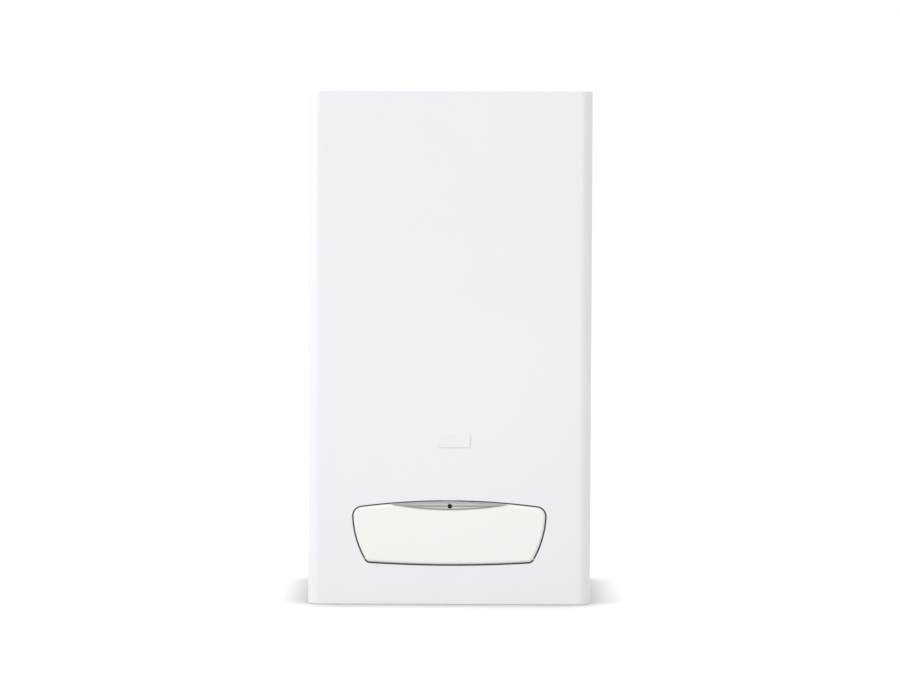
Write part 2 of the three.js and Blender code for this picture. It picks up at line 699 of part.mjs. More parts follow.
function combustionChamber() {
  const { halfX, halfY, low, high } = CHAMBER;
  const wall = 1.2;
  const y = (half) => [CENTRE_Y - half, CENTRE_Y + half];
  const shell = across(halfX, y(halfY), [low, high]);
  const inside = across(halfX - wall, y(halfY - wall), [low - 1, high + 1]);
  const feet = bothSides([halfX - 14, halfX], y(60), [SHELF + 1.2 + GAP, low + 2]);
  const hollowFeet = bothSides([halfX - 13, halfX - 1.4], y(70), [SHELF + 3, low - 2]);
  return cut(join(cut(shell, inside), ...feet), ...hollowFeet, ...chamberFrontHoles());
}

function chamberLining() {
  const { halfX, halfY, low, high, lining } = CHAMBER;
  const out = 1.5;
  const y = (half) => [CENTRE_Y - half, CENTRE_Y + half];
  const block = across(halfX - out, y(halfY - out), [low + 2.4, high - GAP]);
  const inside = across(halfX - out - lining, y(halfY - out - lining), [low - 1, high + 1]);
  return cut(block, inside, ...chamberFrontHoles());
}

const BURNER = { blades: 11, pitch: 19, low: 434, high: 468, front: -278, back: -144 };

function burner() {
  const { blades, pitch, low, high, front, back } = BURNER;
  const xs = Array.from({ length: blades }, (_, i) => (i - (blades - 1) / 2) * pitch);
  const blade = (x) => {
    const outline = [
      [x - 2.5, low],
      [x + 2.5, low],
      [x + 5.5, low + 12],
      [x + 5.5, high],
      [x - 5.5, high],
      [x - 5.5, low + 12],
    ];
    return slab(outline, "y", [front, back]);
  };
  const bars = [
    across(111, [front - 3, front + 1.5], [low + 4, high - 8]),
    across(111, [back - 1.5, back + 3], [low + 4, high - 8]),
  ];
  const mouths = xs.map((x) => rod("y", 4, [front - 4, front + 12], [x, INJECTOR_Z], 6));
  return cut(join(...xs.map(blade), ...bars), ...mouths);
}

function burnerManifold() {
  const [y, top] = [GAS_RISE[1], INJECTOR_Z];
  const bar = rod("x", 8, [-104, 104], [y, top], 14);
  const { blades, pitch } = BURNER;
  const injectors = Array.from({ length: blades }, (_, i) => {
    const x = (i - (blades - 1) / 2) * pitch;
    return rod("y", 2.8, [y, BURNER.front - 5], [x, top], 6);
  });
  const inlet = rod("z", 11, [426, top], [0, y], 6);
  const ears = bothSides([104, 112], [y - 3, y + 8.7], [top - 8, top + 8]);
  return join(bar, ...injectors, inlet, ...ears);
}

function ignitionElectrode() {
  const { x, z } = ELECTRODE;
  const ceramic = rod("y", 4.2, [-316, -286], [x, z], 12);
  const collar = rod("y", 7, [-301, -298], [x, z], 12);
  const wire = pipe(
    [
      [x, -288, z],
      [x, -270, z],
      [x, -266, z - 8],
    ],
    0.9,
    3,
    6,
  );
  return join(ceramic, collar, wire);
}

const SWITCH = { y: -200, z: 735, radius: 29, face: 180 };

function airPressureSwitch() {
  const { y, z, radius, face } = SWITCH;
  const profile = [
    [0, face],
    [12, face],
    [13, face + 4],
    [radius, face + 8],
    [radius, face + 18],
    [radius - 3, face + 26],
    [0, face + 26],
  ];
  const taps = [
    rod("x", 2.6, [face - 10, face + 2], [y, z], 10),
    rod("x", 2.6, [face - 10, face + 10], [y + 17, z + 8], 10),
  ];
  return join(turned("x", profile, [y, z], 20), ...taps);
}

function pressureHose() {
  const fanTap = [FAN.x + 70 + GAP, CENTRE_Y, 768];
  const switchTap = [SWITCH.face - 10 - GAP, SWITCH.y, SWITCH.z];
  return pipe([fanTap, [72, CENTRE_Y, 768], [130, SWITCH.y, SWITCH.z], switchTap], 4, 20, 8);
}

// ---- Expansion vessel and heating water ----
const VESSEL = { z: 590, radius: 150, back: -16, front: -98 };

function expansionVessel() {
  const { z, radius, back, front } = VESSEL;
  const seam = (back + front) / 2;
  const profile = [
    [0, front],
    [radius * 0.7, front + 2],
    [radius * 0.92, front + 10],
    [radius, front + 26],
    [radius, seam - 2],
    [radius + 4, seam - 2],
    [radius + 4, seam + 2],
    [radius, seam + 2],
    [radius, back - 26],
    [radius * 0.92, back - 10],
    [radius * 0.7, back - 2],
    [0, back],
  ];
  const boss = rod("y", 20, [back - 3, BACK.front - GAP], [0, z]);
  const nipple = rod("z", 8, [425, z - radius + 6], [0, seam], 12);
  return join(turned("y", profile, [0, z], 28), boss, nipple);
}

const VESSEL_BOSS = [100, CONNECTION_Y];

function vesselPipe() {
  const seam = (VESSEL.back + VESSEL.front) / 2;
  const [x, y] = VESSEL_BOSS;
  return pipe([[0, seam, 425 - GAP], [0, seam, 234], [x, y, 234], [x, y, 205 + GAP]], 5, 16, 8);
}

function heatingFlowPipe() {
  const [x, y] = FLOW_DROP;
  const { level } = TUBES;
  return pipe(
    [
      [-PORT_X - GAP, tubeY(0), level],
      [x, y, level],
      [x, y, 362],
      [x, CONNECTION_Y, 362],
      [x, CONNECTION_Y, 160 + GAP],
    ],
    9,
  );
}

function heatingReturnPipe() {
  const [x, y] = RETURN_RISE;
  const { level } = TUBES;
  return pipe(
    [
      [PUMP.x, CONNECTION_Y, 225 + GAP],
      [PUMP.x, CONNECTION_Y, 310],
      [x, y, 345],
      [x, y, level],
      [PORT_X + GAP, y, level],
    ],
    9,
    15,
  );
}

// A threaded stub through the tray, with a shoulder on top of it and a bore in its end.
function stub({ x, radius, bore }, top) {
  const at = [x, CONNECTION_Y];
  const thread = rod("z", radius, [THREAD_END, TRAY.top + 2], at);
  const shoulder = rod("z", radius + 3.6, [TRAY.top + GAP, TRAY.top + 8], at, 6);
  const column = rod("z", radius + 0.5, [TRAY.top + 1, top], at);
  return { body: join(thread, shoulder, column), hole: rod("z", bore, [THREAD_END - 1, 24], at) };
}

const EXCHANGER_FRONT = -50; // front face of the hot-water plate exchanger
const PORTS = { hot: 112, heating: 153 }; // heights of its two pairs of ports

// The arm that runs back from a connection's column to a port of the plate exchanger.
const portArm = (x, z, radius) => rod("y", radius, [CONNECTION_Y - 2, EXCHANGER_FRONT - GAP], [x, z]);

function flowManifold() {
  const { heatingFlow, hotWater } = CONNECTIONS;
  const main = stub(heatingFlow, 176);
  const hot = stub(hotWater, 124);
  const y = CONNECTION_Y;
  const head = rod("z", 21, [170, 184], [heatingFlow.x, y]);
  const web = box([heatingFlow.x, hotWater.x], [y - 5, y + 5], [60, 84]);
  const heatingArm = rod("x", 11, [heatingFlow.x, hotWater.x + 10], [y, PORTS.heating]);
  const sideArm = rod("x", 11, [FLOW_DROP[0] - 12, heatingFlow.x], [y, 135]);
  const riser = rod("z", 12.5, [135, 160], [FLOW_DROP[0], y], 6);
  const safetyBoss = rod("y", 12, [-105, y], [SAFETY.x, SAFETY.z]);
  const tapping = rod("y", 4.5, [TAPPING.y, y], [TAPPING.x, PORTS.heating], 8);
  const arms = [portArm(hotWater.x, PORTS.hot, 9), portArm(hotWater.x, PORTS.heating, 9.5)];
  const tubes = [heatingArm, sideArm, riser, safetyBoss, tapping, ...arms];
  return cut(join(main.body, hot.body, head, web, ...tubes), main.hole, hot.hole);
}

function diverterMotor() {
  const [x, y] = [CONNECTIONS.heatingFlow.x, CONNECTION_Y];
  const collar = rod("z", 19, [184 + GAP, 190], [x, y]);
  const outline = [
    [x - 22, y - 20],
    [x - 16, y - 26],
    [x + 16, y - 26],
    [x + 22, y - 20],
    [x + 22, y + 22],
    [x - 22, y + 22],
  ];
  const plug = box([x - 9, x + 9], [y - 38, y - 24], [194, 210]);
  return join(collar, slab(outline, "z", [188, 240]), plug);
}

function safetyValve() {
  const { x, z } = SAFETY;
  const body = rod("y", 13, [-150, -105 - GAP], [x, z]);
  const hex = rod("y", 16, [-122, -110], [x, z], 6);
  const outlet = rod("z", 8, [14, z], [x, SAFETY_DROP_Y]);
  const bore = rod("z", 5.5, [13, 30], [x, SAFETY_DROP_Y]);
  return cut(join(body, hex, outlet), bore);
}

// A hand knob seen along the named axis: a disc with grooves round its edge.
function grippedKnob(axis, radius, [from, to], centre, lobes) {
  const disc = rod(axis, radius, [from, to], centre, 20);
  const grooves = Array.from({ length: lobes }, (_, i) => {
    const turn = (i / lobes) * 2 * Math.PI;
    const reach = radius + 1.5;
    const at = [centre[0] + reach * Math.cos(turn), centre[1] + reach * Math.sin(turn)];
    return rod(axis, 3, [from - 1, to + 1], at, 6);
  });
  return cut(disc, ...grooves);
}

const safetyValveKnob = () => grippedKnob("y", 15, [-172, -150 - 0.5], [SAFETY.x, SAFETY.z], 6);

function fillingKnob() {
  const at = [FILLING_X, CONNECTION_Y];
  return join(grippedKnob("z", 12.5, [15, 31], at, 7), rod("z", 3, [30, 54], at, 12));
}

function plateHeatExchanger() {
  const [half, low, high, back] = [97, 92, 173, -14];
  const corner = 9;
  const outline = (inset) => {
    const [x, z0, z1, r] = [half - inset, low + inset, high - inset, corner];
    return [
      ...arc([x - r, z0 + r], r, -Math.PI / 2, 0, 1),
      ...arc([x - r, z1 - r], r, 0, Math.PI / 2, 1),
      ...arc([r - x, z1 - r], r, Math.PI / 2, Math.PI, 1),
      ...arc([r - x, z0 + r], r, Math.PI, 1.5 * Math.PI, 1),
    ];
  };
  const core = slab(outline(1.6), "y", [EXCHANGER_FRONT, back]);
  const plates = 6;
  const pitch = (back - EXCHANGER_FRONT - 2) / (plates - 1);
  const edges = Array.from({ length: plates }, (_, i) => {
    const y = EXCHANGER_FRONT + i * pitch;
    return slab(outline(0), "y", [y, y + 2]);
  });
  return join(core, ...edges);
}

function returnManifold() {
  const { coldWater, heatingReturn } = CONNECTIONS;
  const main = stub(heatingReturn, 120);
  const cold = stub(coldWater, 124);
  const y = CONNECTION_Y;
  const volute = rod("y", 45, [-100, -54], [PUMP.x, PUMP.z], 28);
  const wheelSpace = rod("y", 38, [-101, -62], [PUMP.x, PUMP.z], 24);
  const heatingArm = rod("x", 11, [coldWater.x - 10, 92], [y, PORTS.heating]);
  const outlet = rod("z", 13, [188, 225], [PUMP.x, y], 6);
  const vesselBoss = rod("z", 8, [172, 205], VESSEL_BOSS, 8);
  const ventSeat = rod("z", 8, [172, 190], [VENT_X, y], 8);
  const crossTube = rod("x", 8, [coldWater.x, heatingReturn.x], [y, 66], 8);
  const tapBoss = rod("z", 10, [TRAY.top + 2.5, 66], [FILLING_X, y]);
  const spindleHole = rod("z", 3.6, [TRAY.top, 57], [FILLING_X, y], 12);
  const arms = [portArm(coldWater.x, PORTS.hot, 9), portArm(coldWater.x, PORTS.heating, 9.5)];
  const bosses = [outlet, vesselBoss, ventSeat, tapBoss];
  const body = join(main.body, cold.body, volute, heatingArm, crossTube, ...bosses, ...arms);
  return cut(body, wheelSpace, main.hole, cold.hole, spindleHole);
}
const VENT_X = 160;

function pumpMotor() {
  const face = -100 - GAP;
  const profile = [
    [0, face],
    [44, face],
    [44, face - 7],
    [38, face - 8],
    [38, face - 84],
    [34, face - 90],
    [10, face - 90],
    [10, face - 95],
    [0, face - 95],
  ];
  const can = turned("y", profile, [PUMP.x, PUMP.z], 24);
  const terminals = box([PUMP.x - 26, PUMP.x + 26], [-172, -116], [PUMP.z + 30, PUMP.z + 56]);
  return cut(join(can, terminals), rod("y", 4.6, [-134, -99], [PUMP.x, PUMP.z], 14));
}

function pumpImpeller() {
  const at = [PUMP.x, PUMP.z];
  const shrouds = [rod("y", 32, [-92, -90], at, 20), rod("y", 32, [-76, -74], at, 20)];
  const eye = cut(rod("y", 14, [-74.5, -68], at), rod("y", 9, [-76, -67], at));
  const vane = new THREE.BoxGeometry(20, 16, 2).translate(21, -83, 0);
  const vanes = Array.from({ length: 6 }, (_, i) =>
    solid(vane.clone().rotateY((i / 6) * 2 * Math.PI).translate(PUMP.x, 0, PUMP.z)),
  );
  const hub = rod("y", 13, [-92, -74], at);
  const shaft = rod("y", 3.5, [-130, -90], at);
  return join(...shrouds, eye, ...vanes, hub, shaft);
}

function airVent() {
  const profile = [
    [0, 190 + GAP],
    [6, 190 + GAP],
    [6, 198],
    [14, 200],
    [14, 242],
    [11, 246],
    [5, 247],
    [5, 254],
    [0, 254],
  ];
  return turned("z", profile, [VENT_X, CONNECTION_Y], 16);
}

function cableGland() {
  const profile = [
    [0, 20],
    [9, 20],
    [13, 24],
    [13, TRAY.top - PLATE - GAP],
    [9, TRAY.top - PLATE - GAP],
    [9, TRAY.top + GAP],
    [12, TRAY.top + GAP],
    [12, 50],
    [0, 50],
  ];
  const at = [GLAND.x, GLAND.y];
  return cut(turned("z", profile, at, 16), rod("z", 4.2, [19, 51], at, 12));
}

// ---- Gas ----
function gasInletPipe() {
  const { body, hole } = stub(CONNECTIONS.gas, 56);
  const run = pipe([[0, CONNECTION_Y, 50], [0, CONNECTION_Y, 190], [0, -150, 190], [0, -150, 219 - GAP]], 9);
  return cut(join(body, run), hole);
}

function gasValve() {
  const y = -150;
  const body = box([-36, 36], [y - 34, y + 34], [232, 288]);
  const collars = [rod("z", 14, [219, 234], [0, y], 6), rod("z", 14, [286, 300], [0, y], 6)];
  const regulator = rod("y", 17, [y - 62, y - 30], [14, 258], 16);
  const cap = rod("y", 11, [y - 68, y - 60], [14, 258], 6);
  const coil = box([-60, -34], [y - 22, y + 22], [240, 280]);
  const connector = box([-32, -10], [y - 46, y - 32], [246, 270]);
  return join(body, ...collars, regulator, cap, coil, connector);
}

function gasBurnerPipe() {
  const [x, y] = GAS_RISE;
  return pipe([[0, -150, 300 + GAP], [0, -150, 345], [x, y, 345], [x, y, 426 - GAP]], 8);
}

// ---- Controls ----
const BOX = { half: 160, low: 58, high: 176, back: -242, wall: 2 };
const SHAFT_HOLE = 4;

function controlFascia() {
  const { front, back, low, high, half } = FASCIA;
  const panel = across(half, [front, back], [low, high]);
  const holes = [
    ...Object.values(KNOBS).map((x) => rod("y", SHAFT_HOLE, [front - 1, back + 1], [x, DIAL_Z], 16)),
    rod("y", 20.3, [front - 1, back + 1], [GAUGE_X, DIAL_Z], 28),
    rod("y", RESET.radius + 0.5, [front - 1, back + 1], [RESET.x, RESET.z], 20),
  ];
  const stays = bothSides([half - 14, half - 10], [front, back + 20], STAY);
  return cut(join(panel, ...stays), ...holes);
}
const STAY = [92, 108]; // the lugs at each end that hold the fascia to the control box

function controlBox() {
  const { half, low, high, back, wall } = BOX;
  const front = FASCIA.back + GAP;
  const outside = across(half - 4, [front, back], [low, high]);
  const inside = across(half - 4 - wall, [front - 1, back - wall], [low + wall, high - wall]);
  const feet = bothSides([118, 140], [-302, -262], [TRAY.top + GAP, low + 0.5]);
  const rear = [back - 4, back + 1];
  const cableHoles = [-90, 90].map((x) => rod("y", 9, rear, [x, 150], 12));
  const capillaryHole = rod("y", 3, rear, [GAUGE_X, DIAL_Z], 10);
  return cut(join(outside, ...feet), inside, ...cableHoles, capillaryHole);
}

// The board with the parts soldered to it: the three dials' bodies, transformer, relays, terminals and the
// reset switch.
const BOARD = { front: -282, thick: 1.6, low: 66, high: 168, half: 145 };

function circuitBoard() {
  const { front, thick, low, high, half } = BOARD;
  const board = across(half, [front, front + thick], [low, high]);
  const dials = Object.values(KNOBS).map((x) => rod("y", 9, [front - 9, front + 0.5], [x, DIAL_Z]));
  const shaftHoles = Object.values(KNOBS).map((x) => rod("y", 3.6, [front - 10, front - 1.5], [x, DIAL_Z]));
  const transformer = box([-76, -32], [front - 24, front + 0.5], [70, 102]);
  const relays = [94, 114].map((x) => box([x, x + 15], [front - 15, front + 0.5], [138, 158]));
  const terminals = box([20, 84], [front - 12, front + 0.5], [70, 82]);
  const resetSwitch = box([RESET.x - 6, RESET.x + 6], [front - 10, front + 0.5], [RESET.z - 6, RESET.z + 6]);
  const gaugeHole = rod("y", 8, [front - 1, front + 3], [GAUGE_X, DIAL_Z], 12);
  const standoffs = [-132, 132].map((x) => rod("y", 3, [front + 1, BOX.back - BOX.wall - GAP], [x, 116], 8));
  const fitted = [...dials, transformer, ...relays, terminals, resetSwitch, ...standoffs];
  return cut(join(board, ...fitted), ...shaftHoles, gaugeHole);
}

// A knob: a skirt, a domed body with a raised finger bar, and a shaft that enters the dial behind.
function controlKnob(x) {
  const at = [x, DIAL_Z];
  const back = FASCIA.front - 0.8;
  const profile = [
    [0, back],
    [19, back],
    [19, back - 2.5],
    [16.5, back - 3.5],
    [15.5, back - 11],
    [13, back - 12.5],
    [0, back - 12.5],
  ];
  const bar = box([x - 3.2, x + 3.2], [back - 15, back - 5], [DIAL_Z - 14.5, DIAL_Z + 14.5]);
  const mark = box([x - 0.7, x + 0.7], [back - 16, back - 14.4], [DIAL_Z + 4, DIAL_Z + 16]);
  const shaft = rod("y", 3, [back - 2, BOARD.front - 2], at, 12);
  return cut(join(turned("y", profile, at, 24), bar, shaft), mark);
}

const GAUGE = { rim: -322.5, dial: -316.5, back: -290, outer: 19.8, inner: 18.4 };

function pressureGauge() {
  const { rim, dial, back, outer, inner } = GAUGE;
  const at = [GAUGE_X, DIAL_Z];
  const can = rod("y", outer, [rim, back], at, 28);
  const bezel = rod("y", outer + 1.8, [rim, rim + 3], at, 28);
  const well = rod("y", inner, [rim - 1, dial], at, 28);
  const pivot = rod("y", 0.8, [dial - 2.6, dial + 1], at, 10);
  const union = rod("y", 5, [back - 1, back + 16], at, 6);
  return join(cut(join(can, bezel), well), pivot, union);
}

// The thin tube that brings the heating water's pressure to the gauge.
const TAPPING = { x: -95, y: -90 };

function gaugeCapillary() {
  const rear = -205;
  const start = [GAUGE_X, GAUGE.back + 16 + GAP, DIAL_Z];
  const corners = [start, [GAUGE_X, rear, DIAL_Z], [TAPPING.x, rear, PORTS.heating]];
  return pipe([...corners, [TAPPING.x, TAPPING.y - GAP, PORTS.heating]], 1.2, 8, 6);
}

// The needle points at the middle of the scale when the boiler is filled.
function gaugeNeedle() {
  const at = [GAUGE_X, DIAL_Z];
  const y = [GAUGE.dial - 2, GAUGE.dial - 1];
  const pointer = [
    [GAUGE_X - 1.6, DIAL_Z - 6],
    [GAUGE_X + 1.6, DIAL_Z - 6],
    [GAUGE_X + 0.4, DIAL_Z + 14.5],
    [GAUGE_X - 0.4, DIAL_Z + 14.5],
  ];
  const disc = rod("y", 2.6, y, at);
  return cut(join(slab(pointer, "y", y), disc), rod("y", 1.15, [y[0] - 1, y[1] + 1], at));
}

const gaugeGlass = () =>
  rod("y", GAUGE.inner - 0.4, [GAUGE.rim + 0.4, GAUGE.rim + 1.8], [GAUGE_X, DIAL_Z], 28);

const RESET_TRAVEL = 3;

function resetButton() {
  const at = [RESET.x, RESET.z];
  const cap = rod("y", RESET.radius, [FASCIA.front - 5, FASCIA.back + 3], at, 20);
  const stem = rod("y", 2.5, [FASCIA.back + 1, BOARD.front - 10 - RESET_TRAVEL - GAP], at, 12);
  return join(cap, stem);
}

// The loom leaves the control box's right cable hole, climbs through the upper compartment's floor and
// crosses to the fan's motor. A branch goes to the gas valve.
const LOOM = { x: 90, y: -222, radius: 4.5 };
const LOOM_RISE = [190, -264];

function wiringLoom() {
  const { x, y, radius } = LOOM;
  const [riseX, riseY] = LOOM_RISE;
  const trunk = [
    [x, BOX.back + 1, 150],
    [x, y, 150],
    [x, y, 372],
    [riseX, y, 372],
    [riseX, riseY, 372],
    [riseX, riseY, 778],
    [FAN.x + 12 + GAP, riseY, 778],
  ];
  const branch = [
    [x, y, 205],
    [-22, y, 215],
    [-22, y, 258],
    [-22, -196 - GAP, 258],
  ];
  return join(pipe(trunk, radius, 12), pipe(branch, 3, 8));
}

// ---- Finishes ----
const finish = (color, roughness, metalness = 0) =>
  new THREE.MeshStandardMaterial({ color, roughness, metalness });
const ENAMEL = finish("#eff0f3", 0.35);
const IVORY = finish("#f3f2ec", 0.4);
const SILVER = finish("#b4b6c0", 0.35, 0.6);
const SMOKED = finish("#08080a", 0.1);
const GREY_PLASTIC = finish("#c6c9cf", 0.5);
const DARK_PLASTIC = finish("#26292d", 0.55);
const WHITE_PLASTIC = finish("#eceae4", 0.45);
const GALVANISED = finish("#aab0b4", 0.45, 0.9);
const STAINLESS = finish("#b6b7b9", 0.35, 1);
const BRASS = finish("#b9954f", 0.35, 1);
const COPPER = finish("#b8714b", 0.4, 1);
const CAST = finish("#8f9396", 0.6, 0.7);
const RED_PAINT = finish("#a52a20", 0.5);
const RED_PLASTIC = finish("#c0281d", 0.4);
const BLUE_PLASTIC = finish("#2a56a0", 0.4);
const RUBBER = finish("#1b1c1e", 0.85);
const FIBRE = finish("#e6dfcd", 0.95);
const BOARD_GREEN = finish("#1d6a45", 0.5);
const GLASS = finish("#dfe8ea", 0.05);
const STEEL = finish("#9a9da1", 0.3, 1);
const SILICONE = finish("#c9552f", 0.6);

// ---- Assembly ----
const boiler = new THREE.Group();

function add(name, made, material) {
  const { vertProperties, triVerts, numProp } = made.getMesh();
  const geometry = new THREE.BufferGeometry();
  geometry.setAttribute("position", new THREE.BufferAttribute(vertProperties, numProp));
  geometry.setIndex(new THREE.BufferAttribute(triVerts, 1));
  const mesh = new THREE.Mesh(geometry, material);
  mesh.name = name;
  boiler.add(mesh);
}

add("front_cover", frontCover(), ENAMEL);
add("cover_seal", coverSeal(), RUBBER);
add("badge_plate", badgePlate(), ENAMEL);
add("flap_bezel", flapBezel(), GREY_PLASTIC);
add("hinge_pin_right", hingePin(1), STEEL);
add("hinge_pin_left", hingePin(-1), STEEL);
add("control_flap", controlFlap(), IVORY);
add("grip_trim", gripTrim(), SILVER);
add("status_lens", statusLens(), SMOKED);

add("wall_rail", wallRail(), GALVANISED);
add("back_frame", backFrame(), GALVANISED);
add("wall_spacer", wallSpacer(), RUBBER);
add("chamber_box", chamberBox(), GALVANISED);
add("top_panel", topPanel(), GALVANISED);
add("air_blanking_plate", airBlankingPlate(), GALVANISED);
add("base_tray", baseTray(), GALVANISED);

add("air_inlet_socket", airInletSocket(), ENAMEL);
add("exhaust_spigot", exhaustSpigot(), STAINLESS);
add("fan_housing", fanHousing(), GALVANISED);
add("fan_impeller", fanImpeller(), STAINLESS);
add("fan_motor", fanMotor(), DARK_PLASTIC);
add("flue_hood", flueHood(), STAINLESS);
add("heat_exchanger", heatExchanger(), COPPER);
add("combustion_chamber", combustionChamber(), STAINLESS);
add("chamber_lining", chamberLining(), FIBRE);
add("burner", burner(), STAINLESS);
add("burner_manifold", burnerManifold(), BRASS);
add("ignition_electrode", ignitionElectrode(), WHITE_PLASTIC);
add("air_pressure_switch", airPressureSwitch(), WHITE_PLASTIC);
add("pressure_hose", pressureHose(), SILICONE);

add("expansion_vessel", expansionVessel(), RED_PAINT);
add("vessel_pipe", vesselPipe(), COPPER);
add("heating_flow_pipe", heatingFlowPipe(), COPPER);
add("heating_return_pipe", heatingReturnPipe(), COPPER);
add("flow_manifold", flowManifold(), BRASS);
add("diverter_motor", diverterMotor(), DARK_PLASTIC);
add("safety_valve", safetyValve(), BRASS);
add("safety_valve_knob", safetyValveKnob(), RED_PLASTIC);
add("plate_heat_exchanger", plateHeatExchanger(), STAINLESS);
add("return_manifold", returnManifold(), BRASS);
add("filling_knob", fillingKnob(), BLUE_PLASTIC);
add("pump_motor", pumpMotor(), CAST);
add("pump_impeller", pumpImpeller(), WHITE_PLASTIC);
add("air_vent", airVent(), BRASS);
add("cable_gland", cableGland(), DARK_PLASTIC);

add("gas_inlet_pipe", gasInletPipe(), COPPER);
add("gas_valve", gasValve(), CAST);
add("gas_burner_pipe", gasBurnerPipe(), COPPER);

add("control_fascia", controlFascia(), GREY_PLASTIC);
add("control_box", controlBox(), DARK_PLASTIC);
add("circuit_board", circuitBoard(), BOARD_GREEN);
add("mode_knob", controlKnob(KNOBS.mode), WHITE_PLASTIC);
add("heating_knob", controlKnob(KNOBS.heating), WHITE_PLASTIC);
add("hot_water_knob", controlKnob(KNOBS.hotWater), WHITE_PLASTIC);
add("pressure_gauge", pressureGauge(), DARK_PLASTIC);
add("gauge_needle", gaugeNeedle(), RED_PLASTIC);
add("gauge_glass", gaugeGlass(), GLASS);
add("gauge_capillary", gaugeCapillary(), COPPER);
add("reset_button", resetButton(), RED_PLASTIC);
add("wiring_loom", wiringLoom(), RUBBER);

boiler.position.z = -RAIL_HEIGHT; // the origin is the middle of the wall rail, on the wall
export default boiler;
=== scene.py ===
"""A wall-hung combi boiler in a white steel cover, with the whole works behind it.

Shapes are made in millimetres. Heights are measured from the cover's bottom edge, y = 0 is the wall and the
front faces -Y. piece() turns a finished shape into metres in the frame and gives it its body.
"""
import json
import math
import bmesh
import bpy
from mathutils import Matrix, Vector


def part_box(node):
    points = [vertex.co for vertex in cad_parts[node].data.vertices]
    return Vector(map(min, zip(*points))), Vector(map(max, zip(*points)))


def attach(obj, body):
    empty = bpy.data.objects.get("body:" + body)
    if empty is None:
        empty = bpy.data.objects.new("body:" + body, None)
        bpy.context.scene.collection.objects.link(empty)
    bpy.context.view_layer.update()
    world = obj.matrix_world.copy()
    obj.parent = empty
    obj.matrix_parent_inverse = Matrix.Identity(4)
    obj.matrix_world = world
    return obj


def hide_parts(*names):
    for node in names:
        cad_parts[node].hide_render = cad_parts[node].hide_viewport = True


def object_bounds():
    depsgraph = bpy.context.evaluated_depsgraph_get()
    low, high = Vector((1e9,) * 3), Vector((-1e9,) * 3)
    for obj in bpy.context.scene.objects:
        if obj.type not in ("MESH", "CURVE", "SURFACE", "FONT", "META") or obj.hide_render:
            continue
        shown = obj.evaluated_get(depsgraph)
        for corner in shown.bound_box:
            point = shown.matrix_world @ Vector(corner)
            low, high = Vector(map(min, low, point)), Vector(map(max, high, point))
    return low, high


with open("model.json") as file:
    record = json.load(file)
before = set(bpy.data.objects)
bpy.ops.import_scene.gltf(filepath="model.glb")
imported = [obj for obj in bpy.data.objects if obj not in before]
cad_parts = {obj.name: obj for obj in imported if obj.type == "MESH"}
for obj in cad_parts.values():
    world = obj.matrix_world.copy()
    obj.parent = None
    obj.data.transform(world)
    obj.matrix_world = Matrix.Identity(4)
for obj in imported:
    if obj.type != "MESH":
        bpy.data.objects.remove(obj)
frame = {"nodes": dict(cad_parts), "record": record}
CAD_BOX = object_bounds()

MM = 0.001
FLOOR = CAD_BOX[0].z  # the cover's bottom edge
TAU = 2 * math.pi


def reach(node):
    """A node's lowest and highest corners in this file's millimetres."""
    return [Vector((p.x / MM, p.y / MM, (p.z - FLOOR) / MM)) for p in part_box(node)]


# ---- Driving sizes ----
COVER_LOW, COVER_HIGH = reach("front_cover")
HALF_WIDTH, FRONT, REAR_EDGE = COVER_HIGH.x, COVER_LOW.y, COVER_HIGH.y
HEIGHT = COVER_HIGH.z
CORNER, SHEET, FOLD = 20, 1.2, 2.2  # front corner radius, sheet and the radius of the folded edges
COVER_LIP, REAR_LIP = 14, 8  # how far the folded ends and sides turn in
FLAP_FACE = reach("control_flap")[0].y
# The flap's outline: the level, radius or half width of each of its arcs.
FLAP = dict(top=164.8, top_radius=1080, bottom=64.3, bottom_radius=2000, half=152.7, widest=147.5,
            side_radius=152, top_corner=14.5, bottom_corner=8)
FLAP_ROUND = 4.8  # the radius of the flap's rim
HINGE = Vector((0, FLAP_FACE + FLAP_ROUND, (reach("hinge_pin_right")[0].z + reach("hinge_pin_right")[1].z) / 2))
GRIP_LOW, GRIP_RADIUS, GRIP_STEPS, GROOVE = 151, 520, 40, 157.8  # the grip trim's lower arc and its finger groove

# ---- Camera and light ----
# The photo's camera, fitted to the cover's edges: metres from the wall, millimetres above the cover's bottom edge,
# degrees downwards, degrees of roll, and the lens in millimetres.
PHOTO_DISTANCE, PHOTO_HEIGHT, PHOTO_PITCH, PHOTO_ROLL, PHOTO_LENS = 5.0, 628.8, 2.537, 0.207, 117.6
SENSOR = 36


def add_camera():
    camera = bpy.data.objects.new("camera", bpy.data.cameras.new("camera"))
    bpy.context.scene.collection.objects.link(camera)
    camera.data.lens, camera.data.sensor_width = PHOTO_LENS, SENSOR
    pitch, roll = math.radians(PHOTO_PITCH), math.radians(PHOTO_ROLL)
    forward = Vector((0, math.cos(pitch), -math.sin(pitch)))
    level, upright = Vector((1, 0, 0)), Vector((1, 0, 0)).cross(forward)
    right = math.cos(roll) * level + math.sin(roll) * upright
    turn = Matrix((right, right.cross(forward), -forward)).transposed()
    place_at = Matrix.Translation((0, -PHOTO_DISTANCE, FLOOR + PHOTO_HEIGHT * MM))
    camera.matrix_world = place_at @ turn.to_4x4()
    bpy.context.scene.camera = camera


def add_lamp(name, at, aim, size, share):
    """A soft square lamp that adds the given share of full white to a surface at `aim` that faces it."""
    lamp = bpy.data.lights.new(name, "AREA")
    lamp.size = size
    lamp.energy = share * math.pi ** 2 * (Vector(at) - Vector(aim)).length_squared
    holder = bpy.data.objects.new(name, lamp)
    bpy.context.scene.collection.objects.link(holder)
    holder.location = at
    holder.rotation_euler = (Vector(aim) - Vector(at)).to_track_quat("-Z", "Y").to_euler()


